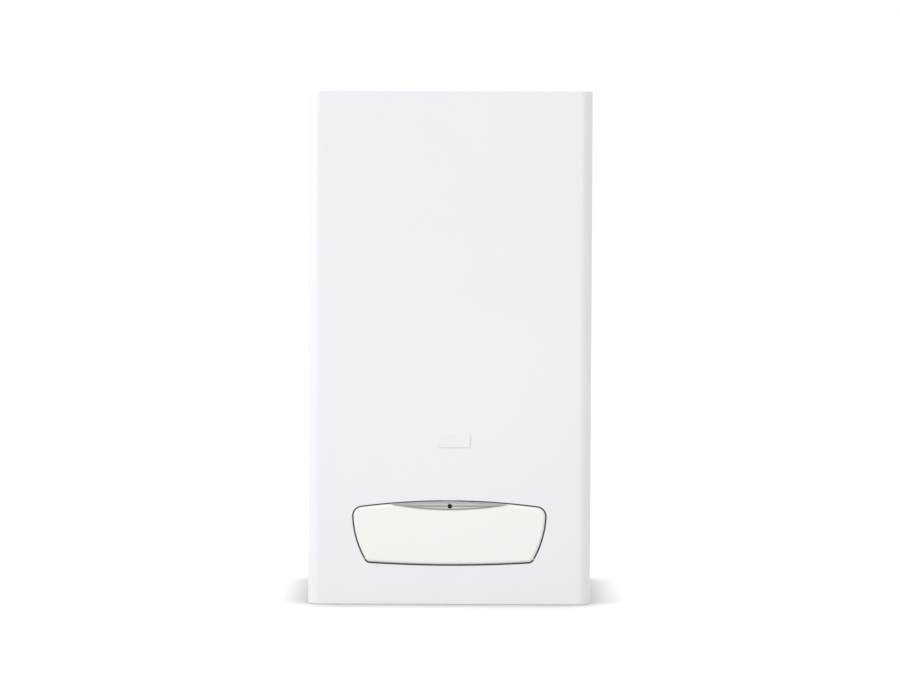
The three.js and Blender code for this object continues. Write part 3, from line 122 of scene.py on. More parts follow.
# ---- Materials ----
def linear(code):
    """An sRGB hex colour as linear red, green, blue and alpha."""
    parts = [int(code[i:i + 2], 16) / 255 for i in (1, 3, 5)]
    return [p / 12.92 if p <= 0.04045 else ((p + 0.055) / 1.055) ** 2.4 for p in parts] + [1]


def add(tree, kind, links=None, values=None, **settings):
    """One node: settings are its properties, values its sockets' numbers, links what feeds its sockets."""
    made = tree.nodes.new(kind)
    for name, value in settings.items():
        setattr(made, name, value)
    for name, value in (values or {}).items():
        made.inputs[name].default_value = value
    for name, source in (links or {}).items():
        tree.links.new(source, made.inputs[name])
    return made


def per_metre(size):
    """The scale that gives a pattern features of this many millimetres."""
    return 1 / (size * MM)


def finish(name, low, high, rough, grain=4, grit=0.6, bump=0.02, stretch=(1, 1, 1), metallic=0, **sockets):
    """A surface whose colour drifts between two hex colours and its roughness between two values over
    `grain` millimetres, with a fine unevenness `bump` millimetres deep over `grit` millimetres."""
    made = bpy.data.materials.new(name)
    made.use_nodes = True
    tree = made.node_tree
    tree.nodes.clear()
    place_on = add(tree, "ShaderNodeTexCoord").outputs["Object"]
    at = add(tree, "ShaderNodeMapping", {"Vector": place_on}, {"Scale": stretch}).outputs["Vector"]
    drift = add(tree, "ShaderNodeTexNoise", {"Vector": at}, {"Scale": per_metre(grain), "Detail": 4})
    fine = add(tree, "ShaderNodeTexNoise", {"Vector": at}, {"Scale": per_metre(grit), "Detail": 3})
    tint = add(tree, "ShaderNodeMix", {0: drift.outputs["Fac"]}, data_type="RGBA")
    tint.inputs[6].default_value, tint.inputs[7].default_value = linear(low), linear(high)
    dull = add(tree, "ShaderNodeMapRange", {"Value": drift.outputs["Fac"]},
               {"From Min": 0.3, "From Max": 0.7, "To Min": rough[0], "To Max": rough[1]})
    relief = add(tree, "ShaderNodeBump", {"Height": fine.outputs["Fac"]}, {"Distance": bump * MM})
    shader = add(tree, "ShaderNodeBsdfPrincipled",
                 {"Base Color": tint.outputs[2], "Roughness": dull.outputs["Result"],
                  "Normal": relief.outputs["Normal"]}, {"Metallic": metallic, **sockets})
    add(tree, "ShaderNodeOutputMaterial", {"Surface": shader.outputs["BSDF"]})
    return made


# Powder-coated steel: sprayed and baked, so it has a faint orange peel and a soft gloss.
ENAMEL = finish("powder_coated_steel", "#eceef3", "#f0f1f3", (0.3, 0.36), 90, 2.4, 0.012)
# ABS moulding, ivory, with a fine satin texture from the mould.
IVORY = finish("ivory_abs", "#f5f4ef", "#f8f7f3", (0.38, 0.46), 60, 0.9, 0.012)
# Silver lacquer on a moulding: fine metal flake under a satin coat.
SILVER = finish("silver_lacquer", "#a8aaab", "#babbba", (0.28, 0.38), 1.2, 0.5, 0.004, metallic=0.55)
# Smoked polycarbonate lens, polished.
SMOKED = finish("smoked_polycarbonate", "#040405", "#090909", (0.08, 0.12), 8, 2, 0.001, IOR=1.58,
                **{"Specular IOR Level": 0.12})
# Grey ABS, textured in the mould.
GREY_ABS = finish("grey_abs", "#c2c5cb", "#caccd1", (0.46, 0.55), 40, 0.7, 0.02)
# Black glass-filled nylon: matt, with a slight flow pattern.
BLACK_NYLON = finish("black_nylon", "#1d1f22", "#282a2e", (0.45, 0.6), 18, 0.6, 0.025)
# White nylon for knobs and switch cases, satin.
WHITE_NYLON = finish("white_nylon", "#e8e6df", "#efede7", (0.34, 0.44), 20, 0.8, 0.01)
# Glazed alumina insulator.
GLAZED_CERAMIC = finish("glazed_alumina", "#eeebe0", "#f5f2ea", (0.1, 0.18), 10, 2, 0.006)
# Hot-dip galvanised sheet: dull zinc with a soft mottle.
ZINC = finish("galvanised_sheet", "#abb0b4", "#c3c7ca", (0.36, 0.52), 9, 1.2, 0.01, metallic=1)
# Stainless and aluminised sheet, rolled, so its grain runs one way.
STAINLESS = finish("rolled_stainless", "#b4b5b7", "#c4c4c6", (0.24, 0.38), 14, 0.5, 0.006, (1, 1, 0.06), 1)
# Bright drawn steel for pins and screws.
BRIGHT_STEEL = finish("zinc_plated_steel", "#b9bcc0", "#cdd0d2", (0.2, 0.32), 5, 0.5, 0.006, metallic=1)
# Cast and machined brass, a little dulled.
BRASS = finish("cast_brass", "#b4934f", "#cbab66", (0.26, 0.44), 6, 0.9, 0.03, metallic=1)
# Copper tube, drawn, with darker clouds where it has been handled and warmed.
COPPER = finish("drawn_copper", "#a9603f", "#c98562", (0.22, 0.42), 16, 0.8, 0.008, metallic=1)
# Die-cast aluminium, matt and grainy.
CAST_ALUMINIUM = finish("die_cast_aluminium", "#8d9194", "#a2a5a8", (0.5, 0.66), 7, 0.7, 0.04, metallic=0.9)
# Red gloss paint on pressed steel.
RED_PAINT = finish("red_gloss_paint", "#a3261c", "#b03024", (0.22, 0.32), 40, 3, 0.03)
# Red and blue nylon for hand knobs.
RED_NYLON = finish("red_nylon", "#b8241a", "#c42d21", (0.34, 0.45), 12, 0.7, 0.01)
BLUE_NYLON = finish("blue_nylon", "#254f97", "#2d5aa6", (0.34, 0.45), 12, 0.7, 0.01)
# Closed-cell foam strip, black: tiny open cells on its cut faces.
FOAM = finish("black_foam", "#17181a", "#242527", (0.8, 0.95), 3, 0.8, 0.12)
# Soft rubber and sleeves.
RUBBER = finish("black_rubber", "#141516", "#1f2022", (0.55, 0.7), 15, 0.5, 0.01)
# Silicone tube, red-brown and slightly waxy.
SILICONE = finish("red_silicone", "#b94a28", "#c75a36", (0.42, 0.55), 14, 0.8, 0.01)
# Pressed ceramic-fibre board: chalky, with short fibres that catch the light.
FIBRE = finish("ceramic_fibre_board", "#ddd5c2", "#efe9dc", (0.9, 1), 7, 0.9, 0.18, (1, 0.25, 1))
# Glass-epoxy board under green solder mask.
SOLDER_MASK = finish("green_solder_mask", "#1a5c3b", "#237049", (0.25, 0.34), 5, 1.4, 0.02)
# Clear acrylic window.
CLEAR = finish("clear_acrylic", "#f4f8f8", "#fafcfc", (0.02, 0.04), 20, 4, 0.001, IOR=1.49,
               **{"Transmission Weight": 1})


# ---- Shapes ----
def mesh_of(points, faces):
    mesh = bpy.data.meshes.new("shape")
    mesh.from_pydata([tuple(p) for p in points], [], faces)
    return closed(mesh)


def closed(mesh):
    """Merges points that coincide and turns the faces outwards."""
    work = bmesh.new()
    work.from_mesh(mesh)
    bmesh.ops.remove_doubles(work, verts=work.verts, dist=1e-4)
    bmesh.ops.recalc_face_normals(work, faces=work.faces)
    work.to_mesh(mesh)
    work.free()
    return mesh


def loft(rings, looped=False):
    """A closed body through rings with the same number of points. Its ends are capped unless it is looped."""
    count = len(rings[0])
    points = [p for ring in rings for p in ring]
    faces = []
    for i in range(len(rings) if looped else len(rings) - 1):
        low, high = i * count, (i + 1) % len(rings) * count
        faces += [(low + k, low + (k + 1) % count, high + (k + 1) % count, high + k) for k in range(count)]
    if not looped:
        faces += [tuple(range(count)), tuple(range(len(points) - count, len(points)))]
    return mesh_of(points, faces)


def place(axis, along, across):
    """A point from its place along the named axis and its other two coordinates, in X, Y, Z order."""
    u, v = across
    return {"x": (along, u, v), "y": (u, along, v), "z": (u, v, along)}[axis]


def arc(centre, radius, start, end, steps):
    turns = [start + (end - start) * i / steps for i in range(steps + 1)]
    return [(centre[0] + radius * math.cos(t), centre[1] + radius * math.sin(t)) for t in turns]


def spots_round(centre, radius, count, start=TAU / 8):
    """Places at equal distances round a circle."""
    return arc(centre, radius, start, start + TAU, count)[:-1]


def rounded(corners, radius, steps=4, looped=True):
    """An outline with its corners rounded to the radius, or as near to it as they have room for."""
    flat = [Vector(c) for c in corners]
    out = []
    for i, corner in enumerate(flat):
        if not looped and i in (0, len(flat) - 1):
            out.append(tuple(corner))
            continue
        before, after = flat[i - 1] - corner, flat[(i + 1) % len(flat)] - corner
        half = before.angle(after) / 2
        if half > 1.55 or radius <= 0:
            out.append(tuple(corner))
            continue
        room = min(before.length, after.length) * 0.49
        back = min(radius / math.tan(half), room)
        size = back * math.tan(half)
        middle = corner + (before.normalized() + after.normalized()).normalized() * (size / math.sin(half))
        first, last = corner + before.normalized() * back - middle, corner + after.normalized() * back - middle
        swing = first.angle_signed(last)
        for k in range(steps + 1):
            turned_by = Matrix.Rotation(-swing * k / steps, 2)
            out.append(tuple(middle + turned_by @ first))
    return out


def inset(outline, distance):
    """An outline moved inwards, each point along the line that halves its corner."""
    flat = [Vector(p) for p in outline]
    area = sum(a.x * b.y - b.x * a.y for a, b in zip(flat, flat[1:] + flat[:1]))
    inward = 1 if area > 0 else -1
    out = []
    for i, point in enumerate(flat):
        before = (point - flat[i - 1]).normalized()
        after = (flat[(i + 1) % len(flat)] - point).normalized()
        normal = Vector((-before.y - after.y, before.x + after.x)).normalized() * inward
        spread = max(abs(normal.dot(Vector((-before.y, before.x)))), 0.3)
        out.append(tuple(point + normal * distance / spread))
    return out


def eased(low, high, edge, steps=3):
    """Places along a length and the inset at each, for two ends rounded to the edge radius."""
    if not edge:
        return [(low, 0), (high, 0)]
    turns = [math.pi / 2 * i / steps for i in range(steps + 1)]
    start = [(low + edge * (1 - math.sin(t)), edge * (1 - math.cos(t))) for t in reversed(turns)]
    return start + [(high - (at - low), inside) for at, inside in reversed(start)]


def slab(outline, axis, span, edge=0):
    """A flat outline made thick along the named axis, with its rims rounded."""
    rings = [[place(axis, at, p) for p in (inset(outline, back) if back else outline)]
             for at, back in eased(*span, edge)]
    return loft(rings)


def rectangle(x, z):
    """A rectangle's corners between two places across and two up."""
    return [(x[0], z[0]), (x[1], z[0]), (x[1], z[1]), (x[0], z[1])]


def box(x, y, z, edge=0, round_to=None):
    """A block with its upright and its long edges rounded."""
    return slab(rounded(rectangle(x, z), edge if round_to is None else round_to), "y", y, edge)


def box_in(low, high, edge=0, round_to=None):
    return box((low.x, high.x), (low.y, high.y), (low.z, high.z), edge, round_to)


def across(half, y, z, edge=0):
    """A box about the middle, with half its width given."""
    return box((-half, half), y, z, edge)


def both_sides(x, y, z, edge=0):
    """A box on the right and its twin on the left."""
    return [box(x, y, z, edge), box((-x[1], -x[0]), y, z, edge)]


def turned(axis, profile, centre, steps=56, looped=False):
    """A body of revolution from (radius, distance along the axis) pairs."""
    turns = [TAU * i / steps for i in range(steps)]
    rings = [[place(axis, along, (centre[0] + r * math.cos(t), centre[1] + r * math.sin(t))) for t in turns]
             for r, along in profile]
    return loft(rings, looped)


def rod(axis, radius, span, centre, edge=0, steps=40):
    profile = [(radius - back, at) for at, back in eased(*span, edge)]
    return turned(axis, profile, centre, steps)


def band(axis, radii, span, centre, edge, steps):
    """A plain ring of rectangular section with its edges rounded."""
    return turned(axis, rounded(rectangle(radii, span), edge, 2), centre, steps, looped=True)


def smooth_turned(axis, profile, centre, radius=1, steps=56):
    """A body of revolution whose profile, from axis to axis, has its corners rounded."""
    return turned(axis, rounded(profile, radius, 3, looped=False), centre, steps)


def nut(axis, flats, span, centre, turn=0):
    """A hexagon with the corners of both faces turned off."""
    corner = flats / math.sqrt(3)
    hexagon = arc(centre, corner, turn, turn + TAU * 5 / 6, 5)
    low, high = span
    chamfer = (corner - flats / 2) * 0.6
    cone = [(flats / 2, low), (corner, low + chamfer), (corner, high - chamfer), (flats / 2, high)]
    return common(slab(hexagon, axis, span), turned(axis, cone, centre, 48))


BEND_STEP = 5  # a bend's points are about this far apart


def bent(corners, bend):
    """Points along straight runs joined by bends of the given radius."""
    at = [Vector(c) for c in corners]
    line = [at[0]]
    for before_at, corner, after_at in zip(at, at[1:], at[2:]):
        before, after = (before_at - corner).normalized(), (after_at - corner).normalized()
        half = before.angle(after) / 2
        centre = corner + (before + after).normalized() * (bend / math.sin(half))
        first = corner + before * (bend / math.tan(half)) - centre
        last = corner + after * (bend / math.tan(half)) - centre
        steps = max(4, math.ceil(first.angle(last) * bend / BEND_STEP))
        axis = first.cross(last).normalized()
        line += [centre + Matrix.Rotation(first.angle(last) * k / steps, 3, axis) @ first
                 for k in range(steps + 1)]
    return line + [at[-1]]


def tube(line, radius, sides=24):
    """A round body along a line of points. The radius is a number or a function of the share of its length."""
    line = [Vector(p) for p in line]
    along = [(b - a).normalized() for a, b in zip(line, line[1:])]
    ways = [along[0]] + [(a + b).normalized() for a, b in zip(along, along[1:])] + [along[-1]]
    lengths = [0]
    for a, b in zip(line, line[1:]):
        lengths.append(lengths[-1] + (b - a).length)
    side = ways[0].orthogonal().normalized()
    rings = []
    for i, (point, way) in enumerate(zip(line, ways)):
        if i:
            side = ways[i - 1].rotation_difference(way) @ side
        side = (side - way * side.dot(way)).normalized()
        other = way.cross(side)
        r = radius(lengths[i] / lengths[-1]) if callable(radius) else radius
        rings.append([point + r * (math.cos(t) * side + math.sin(t) * other)
                      for t in (TAU * k / sides for k in range(sides))])
    return loft(rings)


def pipe(corners, radius, bend=18, sides=24):
    return tube(bent(corners, bend), radius, sides)


# ---- Joining, cutting and repeating ----
def evaluated(mesh, *modifiers):
    """The mesh after modifiers, each given as (type, settings)."""
    holder = bpy.data.objects.new("holder", mesh)
    bpy.context.scene.collection.objects.link(holder)
    for kind, settings in modifiers:
        modifier = holder.modifiers.new(kind, kind)
        for name, value in settings.items():
            setattr(modifier, name, value)
    graph = bpy.context.evaluated_depsgraph_get()
    made = bpy.data.meshes.new_from_object(holder.evaluated_get(graph), depsgraph=graph)
    bpy.data.objects.remove(holder)
    return made


SPLIT_FACES = ("TRIANGULATE", {"min_vertices": 5})


def combined(operation, mesh, tools, *between):
    holders = [bpy.data.objects.new("tool", tool) for tool in tools]
    for holder in holders:
        bpy.context.scene.collection.objects.link(holder)
    steps = []
    for holder in holders:
        steps += [*between, ("BOOLEAN", {"object": holder, "operation": operation, "solver": "MANIFOLD"})]
    made = evaluated(mesh, *steps)
    for holder in holders:
        bpy.data.objects.remove(holder)
    return made


def join(mesh, *others):
    return combined("UNION", mesh, others)


def cut(mesh, *tools):
    return combined("DIFFERENCE", mesh, tools)


def cut_holes(mesh, *tools):
    """As cut, for a wide face that takes several holes: it stays whole where its faces are split before each."""
    return combined("DIFFERENCE", mesh, tools, SPLIT_FACES)


def common(mesh, *others):
    return combined("INTERSECT", mesh, others)


def together(*meshes):
    """Several closed bodies as one mesh."""
    work = bmesh.new()
    for mesh in meshes:
        work.from_mesh(mesh)
    made = bpy.data.meshes.new("shape")
    work.to_mesh(made)
    work.free()
    return made


def moved(mesh, by, turn=0):
    made = mesh.copy()
    made.transform(Matrix.Translation(by) @ Matrix.Rotation(turn, 4, "Z"))
    return made


def bevelled(mesh, width, segments=2, angle=32):
    edges = {"width": width, "segments": segments, "limit_method": "ANGLE", "angle_limit": math.radians(angle),
             "miter_outer": "MITER_ARC"}
    return evaluated(mesh, SPLIT_FACES, ("BEVEL", edges))


def cast(mesh, voxel=1.2, rounds=4):
    """A casting: inner corners filled and outer ones softened."""
    return evaluated(mesh, ("REMESH", {"mode": "VOXEL", "voxel_size": voxel}),
                     ("SMOOTH", {"factor": 0.5, "iterations": rounds}))


def strip(path, thick, radius):
    """The outline of a sheet bent along a path; the path is one face and the other is `thick` to its left."""
    line = [Vector(p) for p in rounded(path, radius, looped=False)]
    ways = [(b - a).normalized() for a, b in zip(line, line[1:])]
    ways = [ways[0]] + [(a + b).normalized() for a, b in zip(ways, ways[1:])] + [ways[-1]]
    return [tuple(p) for p in line] + [(p.x - w.y * thick, p.y + w.x * thick)
                                       for p, w in reversed(list(zip(line, ways)))]


def new_tree(name, inputs):
    """A Geometry Nodes tree with named inputs, which ends in Realize Instances and Set Material."""
    tree = bpy.data.node_groups.new(name, "GeometryNodeTree")
    sockets = {"Points": "Geometry", **inputs, "Finish": "Material"}
    for label, kind in sockets.items():
        tree.interface.new_socket(label, in_out="INPUT", socket_type="NodeSocket" + kind)
    tree.interface.new_socket("Made", in_out="OUTPUT", socket_type="NodeSocketGeometry")
    return tree, add(tree, "NodeGroupInput").outputs


def end_tree(tree, given, instances):
    real = add(tree, "GeometryNodeRealizeInstances", {"Geometry": instances})
    coated = add(tree, "GeometryNodeSetMaterial", {"Geometry": real.outputs[0], "Material": given["Finish"]})
    add(tree, "NodeGroupOutput", {"Made": coated.outputs[0]})
    return tree


def make_row_tree():
    """Repeats an item: each copy is one step further and turned one more angle about the Z axis."""
    tree, given = new_tree("row_or_ring", {"Item": "Object", "Count": "Int", "Step": "Vector", "Turn": "Float"})
    item = add(tree, "GeometryNodeObjectInfo", {"Object": given["Item"]})
    number = add(tree, "GeometryNodeInputIndex").outputs[0]
    away = add(tree, "ShaderNodeVectorMath", {0: given["Step"], "Scale": number}, operation="SCALE")
    points = add(tree, "GeometryNodePoints", {"Count": given["Count"], "Position": away.outputs[0]})
    angle = add(tree, "ShaderNodeMath", {0: number, 1: given["Turn"]}, operation="MULTIPLY")
    about = add(tree, "ShaderNodeCombineXYZ", {"Z": angle.outputs[0]})
    turn = add(tree, "FunctionNodeEulerToRotation", {0: about.outputs[0]})
    copies = add(tree, "GeometryNodeInstanceOnPoints",
                 {"Points": points.outputs[0], "Instance": item.outputs["Geometry"], "Rotation": turn.outputs[0]})
    return end_tree(tree, given, copies.outputs[0])


def make_points_tree():
    """Sets an item on each point, facing the given way and turned about its own axis by a seeded angle."""
    tree, given = new_tree("set_on_points", {"Item": "Object", "Facing": "Rotation", "Seed": "Int"})
    item = add(tree, "GeometryNodeObjectInfo", {"Object": given["Item"]})
    copies = add(tree, "GeometryNodeInstanceOnPoints",
                 {"Points": given["Points"], "Instance": item.outputs["Geometry"], "Rotation": given["Facing"]})
    chance = add(tree, "FunctionNodeRandomValue", {8: given["Seed"]}, {2: 0, 3: TAU})
    about = add(tree, "ShaderNodeCombineXYZ", {"Z": chance.outputs[1]})
    turned_on = add(tree, "GeometryNodeRotateInstances", {"Instances": copies.outputs[0], "Rotation": about.outputs[0]})
    return end_tree(tree, given, turned_on.outputs[0])


ROW, ON_POINTS = make_row_tree(), make_points_tree()


def grown(tree, mesh, item, **inputs):
    """What a tree makes from a mesh and an item, as a plain mesh."""
    thing = bpy.data.objects.new("item", item)
    holder = bpy.data.objects.new("holder", mesh)
    for made in (thing, holder):
        bpy.context.scene.collection.objects.link(made)
    modifier = holder.modifiers.new("grown", "NODES")
    modifier.node_group = tree
    inputs["Item"] = thing
    for socket in tree.interface.items_tree:
        if socket.in_out == "INPUT" and socket.name in inputs:
            modifier[socket.identifier] = inputs[socket.name]
    graph = bpy.context.evaluated_depsgraph_get()
    made = bpy.data.meshes.new_from_object(holder.evaluated_get(graph), depsgraph=graph)
    for spent in (thing, holder):
        bpy.data.objects.remove(spent)
    return made


def row(item, count, step, material):
    return grown(ROW, bpy.data.meshes.new("start"), item, Count=count, Step=step, Turn=0.0, Finish=material)


AXIS_TURN = {"x": Matrix.Rotation(math.pi / 2, 4, "Y"), "y": Matrix.Rotation(-math.pi / 2, 4, "X"),
             "z": Matrix.Identity(4), "-x": Matrix.Rotation(-math.pi / 2, 4, "Y"),
             "-y": Matrix.Rotation(math.pi / 2, 4, "X"), "-z": Matrix.Rotation(math.pi, 4, "X")}


def round_about(axis, centre, item, count, material):
    """Copies of an item, made round the Z axis, set round another axis."""
    made = grown(ROW, bpy.data.meshes.new("start"), item, Count=count, Step=(0, 0, 0), Turn=TAU / count,
                 Finish=material)
    made.transform(Matrix.Translation(place(axis[-1], 0, centre)) @ AXIS_TURN[axis])
    return made


def set_on(points, facing, item, seed):
    """Copies of a steel item, made to face up, set on points and facing along an axis such as "-y"."""
    start = bpy.data.meshes.new("start")
    start.from_pydata([tuple(p) for p in points], [], [])
    return grown(ON_POINTS, start, item, Facing=AXIS_TURN[facing].to_euler(), Seed=seed, Finish=BRIGHT_STEEL)


def piece(name, mesh, material, slot, body, *nodes, smooth=38):
    """Finishes a shape as a piece of the boiler that rides on a body and may stand for CAD nodes."""
    mesh.transform(Matrix.Translation((0, 0, FLOOR)) @ Matrix.Scale(MM, 4))
    mesh.shade_smooth()
    mesh.set_sharp_from_angle(angle=math.radians(smooth))
    made = evaluated(mesh, ("WEIGHTED_NORMAL", {"keep_sharp": True}))
    made.name = name
    made.materials.clear()
    made.materials.append(material)
    made.polygons.foreach_set("material_index", [0] * len(made.polygons))
    holder = bpy.data.objects.new(name, made)
    bpy.context.scene.collection.objects.link(holder)
    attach(holder, body)
    if nodes:
        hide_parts(*nodes)
    return holder


# ---- Cover ----
def rounded_cover(back):
    """The cover's outside as a solid, or with an inset the space inside its sheet."""
    half, low, high = HALF_WIDTH - back, back, HEIGHT - back
    front, rear = FRONT + back, REAR_EDGE - back
    radius, fold = CORNER - back, FOLD - back
    outline = [(half, rear - fold), *arc((half - fold, rear - fold), fold, 0, math.pi / 2, 4),
               *arc((fold - half, rear - fold), fold, math.pi / 2, math.pi, 4),
               *arc((radius - half, front + radius), radius, math.pi, 1.5 * math.pi, 20),
               *arc((half - radius, front + radius), radius, 1.5 * math.pi, TAU, 20)]
    return slab(outline, "z", (low, high), fold)


def flap_centres():
    top = (0, FLAP["top"] - FLAP["top_radius"])
    side = (FLAP["half"] - FLAP["side_radius"], FLAP["widest"])
    return top, side, (0, FLAP["bottom"] + FLAP["bottom_radius"])


def crossing(a, reach_a, b, reach_b, turn):
    """Where circles round a and b cross, on the side that `turn` says."""
    across_to, up_to = b[0] - a[0], b[1] - a[1]
    span = math.hypot(across_to, up_to)
    along = (reach_a ** 2 - reach_b ** 2 + span ** 2) / (2 * span)
    aside = turn * math.sqrt(reach_a ** 2 - along ** 2)
    return (a[0] + (across_to * along - up_to * aside) / span,
            a[1] + (up_to * along + across_to * aside) / span)


def bearing(start, end):
    return math.atan2(end[1] - start[1], end[0] - start[0])


def flap_outline(grow):
    """The flap's outline, five arcs a side, grown by a distance."""
    top, side, bottom = flap_centres()
    r_top, r_side, r_bottom = FLAP["top_radius"], FLAP["side_radius"], FLAP["bottom_radius"]
    high_r, low_r = FLAP["top_corner"], FLAP["bottom_corner"]
    high = crossing(top, r_top - high_r, side, r_side - high_r, -1)
    low = crossing(side, r_side - low_r, bottom, r_bottom - low_r, -1)
    right = [*arc(top, r_top + grow, math.pi / 2, bearing(top, high), 24),
             *arc(high, high_r + grow, bearing(top, high), bearing(side, high), 14)[1:],
             *arc(side, r_side + grow, bearing(side, high), bearing(side, low), 16)[1:],
             *arc(low, low_r + grow, bearing(side, low), bearing(bottom, low), 10)[1:],
             *arc(bottom, r_bottom + grow, bearing(bottom, low), -math.pi / 2, 16)[1:]]
    return right + [(-x, z) for x, z in right[-2:0:-1]]


def grip_outline(grow):
    """The eye-shaped trim along the flap's top edge, grown by a distance."""
    low, top = (0, GRIP_LOW + GRIP_RADIUS), flap_centres()[0]
    tip = crossing(top, FLAP["top_radius"] + grow, low, GRIP_RADIUS + grow, -1)
    other = (-tip[0], tip[1])
    return [*arc(low, GRIP_RADIUS + grow, bearing(low, other), bearing(low, tip), GRIP_STEPS),
            *arc(top, FLAP["top_radius"] + grow, bearing(top, tip), bearing(top, other), GRIP_STEPS)[1:-1]]


def ring(outer, inner, span, axis="y"):
    """What is left between two outlines, over a length along the axis."""
    return cut(slab(outer, axis, span), slab(inner, axis, (span[0] - 1, span[1] + 1)))


SCREW_LEVEL, SCREW_Y = 26, -16  # the two screws low on the cover's sides


def front_cover():
    shell = cut(rounded_cover(0), rounded_cover(SHEET))
    rear = across(HALF_WIDTH - REAR_LIP, (-30, 5), (-1, HEIGHT + 1))
    ends = across(HALF_WIDTH - COVER_LIP, (FRONT + COVER_LIP, 5), (-1, HEIGHT + 1))
    window = slab(flap_outline(2.1), "y", (FRONT - 1, FRONT + 5))
    low, high = SCREW_LEVEL - 2.6, SCREW_LEVEL + 2.6
    slots = both_sides((HALF_WIDTH - REAR_LIP - 1, HALF_WIDTH + 1), (SCREW_Y - 2.6, REAR_EDGE + 1), (low, high))
    notches = both_sides((HALF_WIDTH - REAR_LIP - 1, HALF_WIDTH - SHEET), (REAR_EDGE - 6, REAR_EDGE + 1),
                         (SCREW_LEVEL - 9, SCREW_LEVEL + 9))
    made = cut(shell, rear, ends, window, *slots, *notches)
    piece("cover_shell", bevelled(made, 0.35, 2, 50), ENAMEL, "enamel", "cover", "front_cover")


# ---- Flap ----
def flap_block(back=0):
    """The flap's outside as a solid with its rim rounded, or the space a distance inside it."""
    steps = 8
    turns = [math.pi / 2 * i / steps for i in range(steps + 1)]
    rings = [(FLAP_FACE + 9, 0)] + [(FLAP_FACE + FLAP_ROUND * (1 - math.sin(t)), FLAP_ROUND * (1 - math.cos(t)))
                                    for t in turns]
    return loft([[(x, y + back, z) for x, z in flap_outline(-inside - back)] for y, inside in rings])


GRIP_BACK = FLAP_FACE + 3.6


def control_flap():
    keep = [slab(grip_outline(3), "y", (FLAP_FACE + 1, GRIP_BACK + 2), 0.4)]
    keep += both_sides((122, 131), (FLAP_FACE + 2, HINGE.y + 3), (HINGE.z - 3, HINGE.z + 3), 1)
    hollow = slab(flap_outline(-2.4), "y", (FLAP_FACE + 2.5, FLAP_FACE + 30))
    pocket = slab(grip_outline(0.4), "y", (FLAP_FACE - 1, GRIP_BACK))
    pin_hole = rod("x", 1.6, (-160, 160), (HINGE.y, HINGE.z))
    ribs = [box((x - 0.8, x + 0.8), (FLAP_FACE + 2, FLAP_FACE + 6), (FLAP["bottom"] + 6, GRIP_LOW - 2))
            for x in range(-105, 106, 30)]
    shell = join(cut(flap_block(), cut(hollow, *keep)), *[common(r, flap_block(1)) for r in ribs])
    piece("flap", bevelled(cut(shell, pocket, pin_hole), 0.25, 2, 45), IVORY, "ivory_plastic", "flap",
          "control_flap")


def grip_trim():
    eye = common(slab(grip_outline(-0.7), "y", (FRONT - 6, GRIP_BACK - 0.3)), flap_block())
    groove = slab(rounded([(FLAP_FACE - 1, GROOVE + 1.1), (FLAP_FACE - 1, GROOVE - 1.5), (FLAP_FACE, GROOVE - 1.4),
                           (FLAP_FACE + 1.5, GROOVE + 0.5), (FLAP_FACE + 1.3, GROOVE + 1)], 0.3, 3), "x", (-130, 130))
    low_arc = lambda grow: grip_outline(grow)[:GRIP_STEPS + 1]
    lower_edge = loft([[(x, y, z) for x, z in low_arc(grow) + low_arc(6)[::-1]]
                       for y, grow in ((FLAP_FACE - 1, -3.2), (FLAP_FACE, -2.5), (FLAP_FACE + 2, -0.9))])
    lens_low, lens_high = reach("status_lens")
    centre = ((lens_low.x + lens_high.x) / 2, (lens_low.z + lens_high.z) / 2)
    hole = rod("y", 3.7, (FRONT - 7, FRONT + 5), centre)
    trim = cut(eye, groove, hole, lower_edge)
    piece("grip", bevelled(trim, 0.22, 3, 40), SILVER, "silver_paint", "flap", "grip_trim")
    ring_edge = turned("y", rounded([(3.55, FLAP_FACE - 0.6), (3.9, FLAP_FACE - 0.6), (4.3, FLAP_FACE + 0.2),
                                     (4.3, FLAP_FACE + 0.6), (3.55, FLAP_FACE + 0.6)], 0.2, 3), centre, 40, looped=True)
    piece("lens_ring", ring_edge, BRIGHT_STEEL, "silver_paint", "flap")
    profile = [(0, FLAP_FACE - 0.5), (1.4, FLAP_FACE - 0.46), (2.6, FLAP_FACE - 0.25), (3.3, FLAP_FACE + 0.1),
               (3.5, FLAP_FACE + 0.5), (3.5, GRIP_BACK - 0.3), (0, GRIP_BACK - 0.3)]
    piece("lens", smooth_turned("y", profile, centre, 0.3), SMOKED, "smoked_lens", "flap", "status_lens")


def badge_plate():
    piece("badge", box_in(*reach("badge_plate"), 0.35, 2), ENAMEL, "enamel", "cover", "badge_plate")


# ---- Behind the cover ----
def cover_seal():
    low, high = reach("cover_seal")
    outer = rectangle((low.x, high.x), (low.z, high.z))
    made = ring(rounded(outer, 2), inset(outer, 12), (low.y, high.y))
    piece("cover_gasket", bevelled(made, 1.6, 3), FOAM, "rubber", "cover", "cover_seal")


def flap_bezel():
    back = FRONT + SHEET + 0.3
    rear = reach("flap_bezel")[1].y
    flange = ring(flap_outline(12), flap_outline(4), (back, back + 2))
    tunnel = ring(flap_outline(6), flap_outline(4), (back, rear))
    ears = both_sides((136.6, 142), (back, HINGE.y + 5.4), (HINGE.z - 3.4, HINGE.z + 3.4), 0.8)
    catch = across(12, (-337.2, -327), (156, 170.5), 1)
    pin_hole = rod("x", 1.4, (-150, 150), (HINGE.y, HINGE.z))
    made = cut(join(flange, tunnel, *ears, catch), pin_hole)
    piece("bezel", bevelled(made, 0.3, 2, 45), GREY_ABS, "grey_plastic", "cover", "flap_bezel")
    for side in ("right", "left"):
        low, high = reach("hinge_pin_" + side)
        pin = rod("x", HINGE.y - low.y, (low.x, high.x), (HINGE.y, HINGE.z), 0.4)
        piece("flap_pin_" + side, pin, BRIGHT_STEEL, "steel", "cover", "hinge_pin_" + side)


